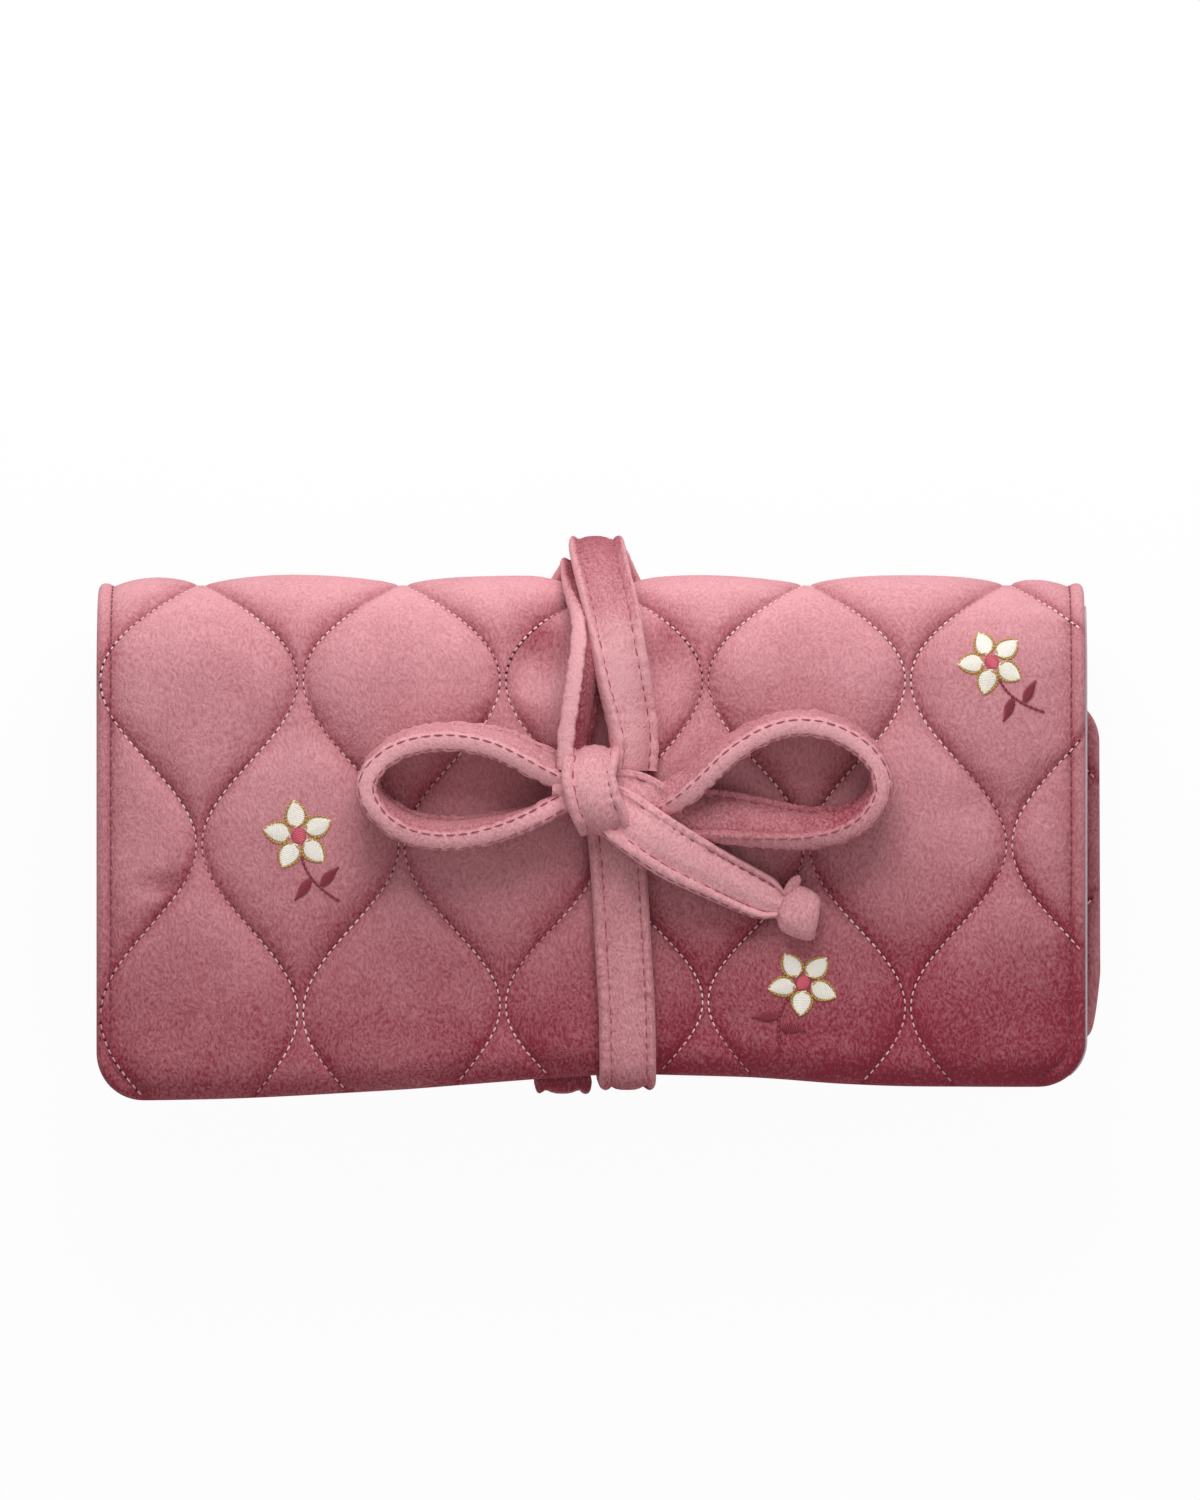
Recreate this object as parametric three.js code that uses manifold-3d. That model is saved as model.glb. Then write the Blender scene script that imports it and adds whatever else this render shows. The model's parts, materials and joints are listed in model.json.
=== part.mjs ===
// Quilted velvet jewelry roll, folded in three and tied with a strap in a bow.
// Millimetres. +X runs along the roll, +Y points to the top fold, +Z out of the front flap.
// The roll lies on its back, with the origin under the middle of its box.
import * as THREE from 'three';
import Module from 'manifold-3d';
import { mergeVertices } from 'three/addons/utils/BufferGeometryUtils.js';

// Cover: one padded sheet that runs from the flap's edge round both folds to the inner third
const ROLL_WIDTH = 210;
const INNER_LENGTH = 60;
const INNER_DROP = 9.39;
const INNER_PEEK = 3.6;
const BACK_MARGIN = 4;
const FLAP_OVERHANG = 9;
const TOP_FOLD_RADIUS = 22.5;
const BOTTOM_FOLD_RADIUS = 14;
const COVER_PAD = 4.2;
const CORNER_RADIUS = 10;
const EDGE_DROP_LEFT = 2.0;
const EDGE_DROP_RIGHT = -0.4;
const EDGE_RISE_MIDDLE = 2.3;
const EDGE_SHAPE_LENGTH = 40;

// Quilting: wavy seams that touch in pairs, so that the puffs are ogee shaped
const QUILT_WIDTH = 43;
const QUILT_LENGTH = 70;
const QUILT_WAVE = 10.15;
const QUILT_ORIGIN_X = -7.95;
const QUILT_START_LENGTH = 17;
const SEAM_DEPTH = 2.4;
const BACK_PRESS = 0.75;
const HEM = 3;
const CELLS_PER_PUFF = 4;
const ROW_STEP = 5.2;

// Lining and the pieces sewn to it
const LINING = 1.0;
const PANEL = 1.0;
const SLIP_POCKET_HEIGHT = 40;
const SLIP_POCKET_FOOT = 4;
const POCKET_INSET = 7;
const BINDING_DIAMETER = 2.6;
const RING_BAR_DIAMETER = 11;
const RING_BAR_INSET = 30;
const RING_BAR_OFFSET = 5;
const TAB_LENGTH = 22;
const TAB_WIDTH = 9;
const TAB_THICKNESS = 1.6;
const SNAP_DIAMETER = 8;
const SNAP_HEIGHT = 1.8;

// Zips, one on the flap's lining and one on the inner third's
const FLAP_ZIP_SET = 26;
const FLAP_POCKET_INSET = 11;
const INNER_ZIP_SET = 16;
const INNER_POCKET_INSET = 6;
const ZIP_END_INSET = 12;
const TAPE_WIDTH = 4.6;
const TAPE_THICKNESS = 0.6;
const COIL_WIDTH = 2.4;
const COIL_HEIGHT = 1.8;
const SLIDER_LENGTH = 9;
const SLIDER_WALL = 1.0;
const BRIDGE_RISE = 0.8;
const BRIDGE_LENGTH = 5;
const BRIDGE_WIDTH = 1.4;
const BRIDGE_LEG = 1.0;
const PULL_LENGTH = 15;
const PULL_WIDTH = 5;
const PULL_THICKNESS = 1.0;
const PULL_EYE_WALL = 1.2;
const STOP_LENGTH = 2.5;

// Tie: one padded strap, wound twice round the roll
const STRAP_WIDTH = 12;
const STRAP_THICKNESS = 4.2;
const STRAP_PRESSED = 2.4;
const STRAP_GROOVE = 2.8;
const BACK_BAND_X = 6.6;
const TOP_LEFT_X = -0.6;
const TOP_RIGHT_X = 1.5;
const FRONT_LEFT_X = -5;
const FRONT_RIGHT_X = 5;
const LOWER_BAND_X = 7;
const LOWER_BAND_LEAN = 0.6;
const LOWER_BAND_DROP = 3;
const KNOT_X = 0;
const KNOT_Y = 9.5;
const KNOT_HALF_HEIGHT = 9.6;
const KNOT_HALF_DEPTH = 6.6;
const KNOT_CORE_SPACE = 0.7;
const LOBE_HALF_WIDTH = 6.4;
const LOBE_HALF_HEIGHT = 6;
const LOBE_HALF_DEPTH = 5.6;
const LOBE_DROP = 4;
const BOW_LIFT = 0.4;
const TAIL_CAP_LENGTH = 4.2;

// Clearance between pieces that touch
const GAP = 0.3;

// Derived places
const halfGap = GAP / 2;
const BACK_LENGTH = INNER_LENGTH + BACK_MARGIN;
const FLAP_LENGTH = BACK_LENGTH + BOTTOM_FOLD_RADIUS + FLAP_OVERHANG;
const INNER_SLOPE = Math.asin(INNER_DROP / INNER_LENGTH);
const FLAP_TOP = 2 * TOP_FOLD_RADIUS;
const TOP_Y = BACK_LENGTH / 2;
const BOTTOM_Y = -BACK_LENGTH / 2;
const HALF_WIDTH = ROLL_WIDTH / 2;
const LINING_TOP = COVER_PAD + GAP + LINING;
const BOTTOM_TURN = Math.PI + INNER_SLOPE;

// Lengths along the cover, measured on its outer face from the flap's edge
const U_TOP = FLAP_LENGTH;
const U_BACK = U_TOP + Math.PI * TOP_FOLD_RADIUS;
const U_BOTTOM = U_BACK + BACK_LENGTH;
const U_INNER = U_BOTTOM + BOTTOM_TURN * BOTTOM_FOLD_RADIUS;
const U_END = U_INNER + INNER_LENGTH;

// Fold lines, where the cover bends when the roll is opened
const U_FOLD_C = U_TOP + (Math.PI / 6) * TOP_FOLD_RADIUS;
const U_FOLD_B = U_TOP + (Math.PI / 2) * TOP_FOLD_RADIUS;
const U_FOLD_A = U_TOP + (5 * Math.PI / 6) * TOP_FOLD_RADIUS;
const U_FOLD_D = U_BOTTOM + (Math.PI / 4) * BOTTOM_FOLD_RADIUS;
const U_FOLD_E = U_FOLD_D + (BOTTOM_TURN / 2) * BOTTOM_FOLD_RADIUS;

const { clamp, degToRad, lerp, smoothstep } = THREE.MathUtils;
const wasm = await Module();
wasm.setup();

const velvet = new THREE.MeshStandardMaterial({ color: 0xb5636f, roughness: 0.95, metalness: 0 });
const strapCloth = new THREE.MeshStandardMaterial({ color: 0xcc8088, roughness: 0.95, metalness: 0 });
const liningCloth = new THREE.MeshStandardMaterial({ color: 0xe9dcdf, roughness: 0.8, metalness: 0 });
const tapeCloth = new THREE.MeshStandardMaterial({ color: 0xd8b7bb, roughness: 0.85, metalness: 0 });
const coilNylon = new THREE.MeshStandardMaterial({ color: 0xcfa9ae, roughness: 0.5, metalness: 0 });
const brass = new THREE.MeshStandardMaterial({ color: 0xc9a66b, roughness: 0.3, metalness: 1 });

const roll = new THREE.Group();

function addMesh(parent, name, geometry, material) {
  const mesh = new THREE.Mesh(geometry, material);
  mesh.name = name;
  parent.add(mesh);
  return mesh;
}

// Point and outward direction of the cover's outer face at length u
function coverAt(u) {
  if (u <= U_TOP) {
    return { y: TOP_Y - FLAP_LENGTH + u, z: FLAP_TOP, ny: 0, nz: 1 };
  }
  if (u <= U_BACK) {
    const a = (u - U_TOP) / TOP_FOLD_RADIUS;
    const ny = Math.sin(a);
    const nz = Math.cos(a);
    return { y: TOP_Y + TOP_FOLD_RADIUS * ny, z: TOP_FOLD_RADIUS * (1 + nz), ny, nz };
  }
  if (u <= U_BOTTOM) {
    return { y: TOP_Y - (u - U_BACK), z: 0, ny: 0, nz: -1 };
  }
  const a = Math.min(u - U_BOTTOM, U_INNER - U_BOTTOM) / BOTTOM_FOLD_RADIUS;
  const ny = -Math.sin(a);
  const nz = -Math.cos(a);
  const run = Math.max(u - U_INNER, 0);
  const y = BOTTOM_Y + BOTTOM_FOLD_RADIUS * ny + run * Math.cos(INNER_SLOPE);
  const z = BOTTOM_FOLD_RADIUS * (1 + nz) - run * Math.sin(INNER_SLOPE);
  return { y, z, ny, nz };
}

// The inner third lies a little to the right, and the skew builds up round the bottom fold
function coverShift(u) {
  return INNER_PEEK * clamp((u - U_BOTTOM) / (U_INNER - U_BOTTOM), 0, 1);
}

// Half width of the sheet at length u, with rounded corners at both free edges
function coverHalfWidth(u) {
  const d = Math.min(u, U_END - u);
  if (d >= CORNER_RADIUS) return HALF_WIDTH;
  const inset = CORNER_RADIUS - Math.sqrt(CORNER_RADIUS ** 2 - (CORNER_RADIUS - d) ** 2);
  return HALF_WIDTH - inset;
}

// The flap's lower edge hangs lowest at its left corner and is drawn up by the tie
function edgeShape(x, u) {
  const s = clamp(x / HALF_WIDTH, -1, 1);
  const ends = s < 0 ? EDGE_DROP_LEFT : EDGE_DROP_RIGHT;
  const rise = EDGE_RISE_MIDDLE * (1 - s * s) - ends * s * s;
  return rise * (1 - smoothstep(u, 0, EDGE_SHAPE_LENGTH));
}

// Cloth lengths of a sheet's rows: even steps, and closer ones at a free edge
function rowsBetween(from, to) {
  const edge = [0.2 * HEM, 0.6 * HEM, HEM, 0.55 * CORNER_RADIUS];
  const start = from === 0 ? CORNER_RADIUS : from;
  const stop = to === U_END ? U_END - CORNER_RADIUS : to;
  const count = Math.max(2, Math.round((stop - start) / ROW_STEP));
  const rows = [];
  if (from === 0) rows.push(0, ...edge);
  for (let i = 0; i <= count; i += 1) {
    rows.push(start + ((stop - start) * i) / count);
  }
  if (to === U_END) rows.push(...edge.reverse().map((d) => U_END - d), U_END);
  return rows;
}

// Seam positions across one row, kept inside the hems and in order
function seamsAt(u) {
  const half = coverHalfWidth(u) - HEM;
  const pitch = QUILT_WIDTH / 2;
  const reach = HALF_WIDTH + QUILT_WAVE;
  const first = Math.ceil((-reach - QUILT_ORIGIN_X) / pitch);
  const last = Math.floor((reach - QUILT_ORIGIN_X) / pitch);
  const wave = QUILT_WAVE * Math.cos((2 * Math.PI * (u - QUILT_START_LENGTH)) / QUILT_LENGTH);
  const seams = [];
  for (let j = first; j <= last; j += 1) {
    const side = j % 2 === 0 ? -1 : 1;
    seams.push(clamp(QUILT_ORIGIN_X + j * pitch + side * wave, -half, half));
  }
  seams.unshift(-half);
  seams.push(half);
  const least = 0.2;
  for (let i = 1; i < seams.length; i += 1) seams[i] = Math.max(seams[i], seams[i - 1] + least);
  seams[seams.length - 1] = half;
  for (let i = seams.length - 2; i > 0; i -= 1) seams[i] = Math.min(seams[i], seams[i + 1] - least);
  return seams;
}

// Puff height, from 0 at the crest down to the seam, at share f between two seams
function puffHeight(f, width, press) {
  const fill = Math.min(1, width / (QUILT_WIDTH / 2));
  const dome = (1 - Math.abs(2 * f - 1) ** 2.4) * Math.sqrt(fill);
  return -SEAM_DEPTH * (1 - Math.min(1, dome / press));
}

function closedGeometry(points, faces) {
  const geometry = new THREE.BufferGeometry();
  geometry.setAttribute('position', new THREE.Float32BufferAttribute(points.flat(), 3));
  geometry.setIndex(faces.flat());
  geometry.computeVertexNormals();
  return geometry;
}

// Triangles of the strip between two rows of points that both run along X
function stripFaces(upper, lower, points, flip) {
  const faces = [];
  let i = 0;
  let j = 0;
  while (i < upper.length - 1 || j < lower.length - 1) {
    const nextUpper = i < upper.length - 1 ? points[upper[i + 1]][0] : Infinity;
    const nextLower = j < lower.length - 1 ? points[lower[j + 1]][0] : Infinity;
    const face = nextUpper <= nextLower
      ? [upper[i], upper[i += 1], lower[j]]
      : [upper[i], lower[j + 1], lower[j++]];
    faces.push(flip ? face.reverse() : face);
  }
  return faces;
}

// Closed solid between the outer and the inner rows of a sheet
function sheetSolid(points, outer, inner) {
  const faces = [];
  const last = outer.length - 1;
  for (let r = 0; r < last; r += 1) {
    [[outer, false], [inner, true]].forEach(([face, flip]) => {
      const a = face[r];
      const b = face[r + 1];
      if (a.length !== b.length) {
        faces.push(...stripFaces(a, b, points, flip));
        return;
      }
      for (let i = 0; i < a.length - 1; i += 1) {
        const quad = [[a[i], a[i + 1], b[i + 1]], [a[i], b[i + 1], b[i]]];
        faces.push(...(flip ? quad.map((t) => t.reverse()) : quad));
      }
    });
    const [o0, o1, i0, i1] = [outer[r], outer[r + 1], inner[r], inner[r + 1]];
    faces.push([o0[0], o1[0], i1[0]], [o0[0], i1[0], i0[0]]);
    faces.push([o0.at(-1), i0.at(-1), i1.at(-1)], [o0.at(-1), i1.at(-1), o1.at(-1)]);
  }
  faces.push(...stripFaces(outer[0], inner[0], points, true));
  faces.push(...stripFaces(outer[last], inner[last], points, false));
  return closedGeometry(points, faces);
}

// Adds one row of a sheet, each station a place across it and a height from the outer face
function addRow(points, u, stations) {
  const place = coverAt(u);
  const shift = coverShift(u);
  return stations.map(([x, h]) => {
    points.push([x + shift, place.y + place.ny * h + edgeShape(x, u), place.z + place.nz * h]);
    return points.length - 1;
  });
}

// Even stations across a plain face; the flap's shaped edge needs more of them
function plainStations(u, from, depth) {
  const half = coverHalfWidth(u);
  const cells = from === 0 ? 8 : 1;
  return Array.from({ length: cells + 1 }, (_, i) => [half * ((2 * i) / cells - 1), -depth]);
}

// Closed solid of a quilted sheet between two cloth lengths. Where it is cut at a fold line, the
// inner face has the stations of the quilted one, so that the end is square.
function quiltedSheet(from, to, press = 1) {
  const points = [];
  const outer = [];
  const inner = [];
  const rows = rowsBetween(from, to);
  rows.forEach((u, r) => {
    const half = coverHalfWidth(u);
    const seams = seamsAt(u);
    const inHem = u < HEM || u > U_END - HEM;
    const stations = [[-half, -SEAM_DEPTH]];
    for (let s = 0; s < seams.length - 1; s += 1) {
      const width = seams[s + 1] - seams[s];
      for (let k = 0; k < CELLS_PER_PUFF; k += 1) {
        const f = k / CELLS_PER_PUFF;
        stations.push([seams[s] + f * width, inHem ? -SEAM_DEPTH : puffHeight(f, width, press)]);
      }
    }
    stations.push([seams.at(-1), -SEAM_DEPTH], [half, -SEAM_DEPTH]);
    const cut = (r === 0 && from > 0) || (r === rows.length - 1 && to < U_END);
    const behind = cut
      ? stations.map(([x]) => [x, -COVER_PAD])
      : plainStations(u, from, COVER_PAD);
    outer.push(addRow(points, u, stations));
    inner.push(addRow(points, u, behind));
  });
  return sheetSolid(points, outer, inner);
}

// Plain closed sheet that follows the cover between two depths below its outer face
function plainSheet(from, to, topDepth, bottomDepth) {
  const points = [];
  const rows = rowsBetween(from, to);
  const outer = rows.map((u) => addRow(points, u, plainStations(u, from, topDepth)));
  const inner = rows.map((u) => addRow(points, u, plainStations(u, from, bottomDepth)));
  return sheetSolid(points, outer, inner);
}

// Closed solid through rings of equal length, with fans over its two ends
function ringSolid(points, rings) {
  const faces = [];
  const n = rings[0].length;
  for (let r = 0; r < rings.length - 1; r += 1) {
    for (let i = 0; i < n; i += 1) {
      const j = (i + 1) % n;
      const [a, b, c, d] = [rings[r][i], rings[r][j], rings[r + 1][j], rings[r + 1][i]];
      faces.push([a, b, c], [a, c, d]);
    }
  }
  const first = rings[0];
  const last = rings[rings.length - 1];
  for (let i = 1; i < n - 1; i += 1) {
    faces.push([first[0], first[i + 1], first[i]], [last[0], last[i], last[i + 1]]);
  }
  return closedGeometry(points, faces);
}

// Section of the strap: a flat padded tube with a stitched groove along one edge
function strapSection(width, thickness) {
  const w = width / 2;
  const t = thickness / 2;
  return [
    [-w, 0], [-w + 0.35 * STRAP_GROOVE, 0.85 * t], [-w + STRAP_GROOVE, 0.55 * t],
    [-w + 1.5 * STRAP_GROOVE, t], [w - 0.35 * thickness, t], [w, 0],
    [w - 0.35 * thickness, -t], [-w + 0.3 * thickness, -0.9 * t],
  ];
}

// Strap swept through stations: a centre point p, the way its face looks n, a thickness t
// and, where the end has to be square to something, the way it runs d
function strapSweep(stations, width = STRAP_WIDTH) {
  const { points, rings } = sweptRings(stations, ({ t }) => strapSection(width, t ?? STRAP_THICKNESS));
  return ringSolid(points, rings);
}

// Rings of a section carried along stations
function sweptRings(stations, sectionAt) {
  const points = [];
  const rings = stations.map((station, i) => {
    const { p, n } = station;
    const before = stations[Math.max(i - 1, 0)].p;
    const after = stations[Math.min(i + 1, stations.length - 1)].p;
    const along = station.d ?? after.clone().sub(before).normalize();
    const across = new THREE.Vector3().crossVectors(along, n).normalize();
    const up = new THREE.Vector3().crossVectors(across, along);
    return sectionAt(station).map(([b, h]) => {
      points.push(p.clone().addScaledVector(across, b).addScaledVector(up, h).toArray());
      return points.length - 1;
    });
  });
  return { points, rings };
}

// Stations of a strap that lies on the cover, with its underside lifted off the outer face.
// Where the roll lies on the strap, its face stays level with the ground.
function stationsOnCover(from, to, steps, xOf, liftOf, thicknessOf) {
  const stations = [];
  for (let i = 0; i <= steps; i += 1) {
    const s = i / steps;
    const place = coverAt(lerp(from, to, s));
    const t = thicknessOf(s);
    const ground = place.nz < 0 ? (place.z - halfGap) / -place.nz : Infinity;
    const lift = Math.min(liftOf(s) + t, ground) - t / 2;
    stations.push({
      p: new THREE.Vector3(xOf(s), place.y + place.ny * lift, place.z + place.nz * lift),
      n: new THREE.Vector3(0, place.ny, place.nz),
      t,
    });
  }
  stations[0].d = alongCover(from);
  stations[steps].d = alongCover(to);
  return stations;
}

// Way of the cloth, so that a strap's end is square to the fold line
function alongCover(u) {
  const { ny, nz } = coverAt(u);
  return new THREE.Vector3(0, nz, -ny);
}

// Stations of a free strap through chosen points, given from the knot and the flap's face
function stationsThrough(list, steps) {
  const path = new THREE.CatmullRomCurve3(
    list.map(([x, y, z]) => new THREE.Vector3(KNOT_X + x, KNOT_Y + y, FLAP_TOP + z)),
  );
  const faces = new THREE.CatmullRomCurve3(list.map((row) => new THREE.Vector3(row[3], row[4], row[5])));
  const stations = [];
  for (let i = 0; i <= steps; i += 1) {
    stations.push({ p: path.getPoint(i / steps), n: faces.getPoint(i / steps).normalize() });
  }
  return stations;
}

function toSolid(geometry) {
  const bare = geometry.clone();
  bare.deleteAttribute('normal');
  bare.deleteAttribute('uv');
  const merged = mergeVertices(bare, 1e-4);
  return new wasm.Manifold(new wasm.Mesh({
    numProp: 3,
    vertProperties: new Float32Array(merged.attributes.position.array),
    triVerts: new Uint32Array(merged.index.array),
  }));
}

function fromSolid(solid) {
  const mesh = solid.getMesh();
  const geometry = new THREE.BufferGeometry();
  geometry.setAttribute('position', new THREE.Float32BufferAttribute(mesh.vertProperties, 3));
  geometry.setIndex(Array.from(mesh.triVerts));
  geometry.computeVertexNormals();
  return geometry;
}

// Block with its lower corner at (x, y, z)
function block(x, y, z, dx, dy, dz) {
  return new THREE.BoxGeometry(dx, dy, dz).translate(x + dx / 2, y + dy / 2, z + dz / 2);
}

// Outline in X and Z, extruded along Y and centred on it
function extrudeAcross(outline, depth) {
  const shape = new THREE.Shape(outline.map(([x, z]) => new THREE.Vector2(x, z)));
  const geometry = new THREE.ExtrudeGeometry(shape, { depth, bevelEnabled: false });
  return geometry.rotateX(Math.PI / 2).translate(0, depth / 2, 0);
}

// Tie bands on the back: pressed into the padding where the roll lies on them
function backBand(side) {
  const flat = BACK_LENGTH / 10;
  const still = () => side * BACK_BAND_X;
  const pressed = () => STRAP_PRESSED;
  return [
    ...stationsOnCover(U_FOLD_A + GAP, U_BACK + flat, 5, still, () => GAP, pressed),
    ...stationsOnCover(U_BOTTOM - flat, U_FOLD_D - GAP, 5, still, () => GAP, pressed),
  ];
}

// Channel that a back band presses into the padding, open to the outside
function backChannel(side) {
  const w = STRAP_WIDTH / 2 + GAP;
  const { points, rings } = sweptRings(backBand(side), ({ t }) => [
    [-w, t / 2 + COVER_PAD], [w, t / 2 + COVER_PAD], [w, -t / 2 - GAP], [-w, -t / 2 - GAP],
  ]);
  return ringSolid(points, rings);
}

// Cover pieces
let backCover = toSolid(quiltedSheet(U_FOLD_A + halfGap, U_FOLD_D - halfGap, BACK_PRESS));
[-1, 1].forEach((side) => {
  backCover = backCover.subtract(toSolid(backChannel(side)));
});
addMesh(roll, 'back_cover', fromSolid(backCover), velvet);
addMesh(roll, 'flap_cover', quiltedSheet(0, U_FOLD_C - halfGap), velvet);
addMesh(roll, 'top_fold_front', quiltedSheet(U_FOLD_C + halfGap, U_FOLD_B - halfGap), velvet);
addMesh(roll, 'top_fold_rear', quiltedSheet(U_FOLD_B + halfGap, U_FOLD_A - halfGap), velvet);
addMesh(roll, 'bottom_fold', quiltedSheet(U_FOLD_D + halfGap, U_FOLD_E - halfGap), velvet);
addMesh(roll, 'inner_cover', quiltedSheet(U_FOLD_E + halfGap, U_END), velvet);

// Lining pieces behind each cover piece
const liningRuns = [
  ['flap_lining', 0, U_FOLD_C - halfGap],
  ['top_fold_front_lining', U_FOLD_C + halfGap, U_FOLD_B - halfGap],
  ['top_fold_rear_lining', U_FOLD_B + halfGap, U_FOLD_A - halfGap],
  ['back_lining', U_FOLD_A + halfGap, U_FOLD_D - halfGap],
  ['bottom_fold_lining', U_FOLD_D + halfGap, U_FOLD_E - halfGap],
  ['inner_lining', U_FOLD_E + halfGap, U_END],
];
liningRuns.forEach(([name, from, to]) => {
  addMesh(roll, name, plainSheet(from, to, COVER_PAD + GAP, LINING_TOP), liningCloth);
});

// Slip pocket on the back's lining, with a rolled binding along its mouth
const pocketWidth = ROLL_WIDTH - 2 * POCKET_INSET;
const pocketFoot = BOTTOM_Y + SLIP_POCKET_FOOT;
const pocketMouth = pocketFoot + SLIP_POCKET_HEIGHT;
const pocketFloor = LINING_TOP + GAP;
addMesh(roll, 'slip_pocket',
  block(-pocketWidth / 2, pocketFoot, pocketFloor, pocketWidth, SLIP_POCKET_HEIGHT, PANEL), liningCloth);
const binding = new THREE.CylinderGeometry(BINDING_DIAMETER / 2, BINDING_DIAMETER / 2, pocketWidth, 10);
binding.rotateZ(Math.PI / 2);
binding.translate(0, pocketMouth + GAP + BINDING_DIAMETER / 2, pocketFloor + BINDING_DIAMETER / 2);
addMesh(roll, 'slip_pocket_binding', binding, velvet);

// Ring bar in the hollow of the top fold, turned so that it sits square on the curved lining
const barRadius = RING_BAR_DIAMETER / 2;
const barReach = TOP_FOLD_RADIUS - LINING_TOP - GAP - barRadius;
const barTilt = Math.asin(RING_BAR_OFFSET / barReach);
const ring = new THREE.Group();
ring.position.set(0, TOP_Y + RING_BAR_OFFSET, TOP_FOLD_RADIUS - barReach * Math.cos(barTilt));
ring.rotation.x = barTilt;
roll.add(ring);

const barEnd = HALF_WIDTH - RING_BAR_INSET;
const barProfile = [
  [0, -barEnd], [0.62 * barRadius, -barEnd], [0.92 * barRadius, -barEnd + 0.4 * barRadius],
  [barRadius, -barEnd + barRadius], [barRadius, barEnd - barRadius],
  [0.92 * barRadius, barEnd - 0.4 * barRadius], [0.62 * barRadius, barEnd], [0, barEnd],
].map(([r, l]) => new THREE.Vector2(r, l));
addMesh(ring, 'ring_bar', new THREE.LatheGeometry(barProfile, 16).rotateZ(-Math.PI / 2), velvet);

// Lowest level that clears the concave lining under the tab's edges
const liningRadius = TOP_FOLD_RADIUS - LINING_TOP;
const tabSag = liningRadius - Math.sqrt(liningRadius ** 2 - (TAB_WIDTH / 2) ** 2);
const snapSag = liningRadius - Math.sqrt(liningRadius ** 2 - (SNAP_DIAMETER / 2) ** 2);
const seat = -barRadius - GAP;

function barTab(floor) {
  const start = barEnd + GAP;
  const bend = start + TAB_LENGTH / 3;
  const end = start + TAB_LENGTH;
  const rest = -TAB_THICKNESS / 2;
  return extrudeAcross([
    [start, rest], [start + 1, rest], [bend, floor], [end, floor], [end, floor + TAB_THICKNESS],
    [bend, floor + TAB_THICKNESS], [start + 1, rest + TAB_THICKNESS], [start, rest + TAB_THICKNESS],
  ], TAB_WIDTH);
}

const sewnFloor = seat + tabSag + GAP;
addMesh(ring, 'ring_bar_sewn_tab', barTab(sewnFloor).rotateZ(Math.PI), velvet);
const snapX = barEnd + GAP + TAB_LENGTH - SNAP_DIAMETER / 2 - 2;
const snapSeat = seat + snapSag + GAP;
const snapTabFloor = snapSeat + SNAP_HEIGHT + GAP;
addMesh(ring, 'ring_bar_snap_tab', barTab(snapTabFloor), velvet);

function snapDisc(profile) {
  const points = profile.map(([r, h]) => new THREE.Vector2(r, h));
  return new THREE.LatheGeometry(points, 16).rotateX(Math.PI / 2);
}

const snapRadius = SNAP_DIAMETER / 2;
const base = addMesh(ring, 'snap_base', snapDisc([
  [0, 0], [snapRadius, 0], [snapRadius, SNAP_HEIGHT / 2], [0.7 * snapRadius, SNAP_HEIGHT],
  [0, SNAP_HEIGHT],
]), brass);
base.position.set(snapX, 0, snapSeat);
const cap = addMesh(ring, 'snap_cap', snapDisc([
  [0, 0], [snapRadius, 0], [snapRadius, 0.3 * SNAP_HEIGHT], [0.8 * snapRadius, 0.75 * SNAP_HEIGHT],
  [0.4 * snapRadius, SNAP_HEIGHT], [0, SNAP_HEIGHT],
]), brass);
cap.position.set(snapX, 0, snapTabFloor + TAB_THICKNESS + GAP);

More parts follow.
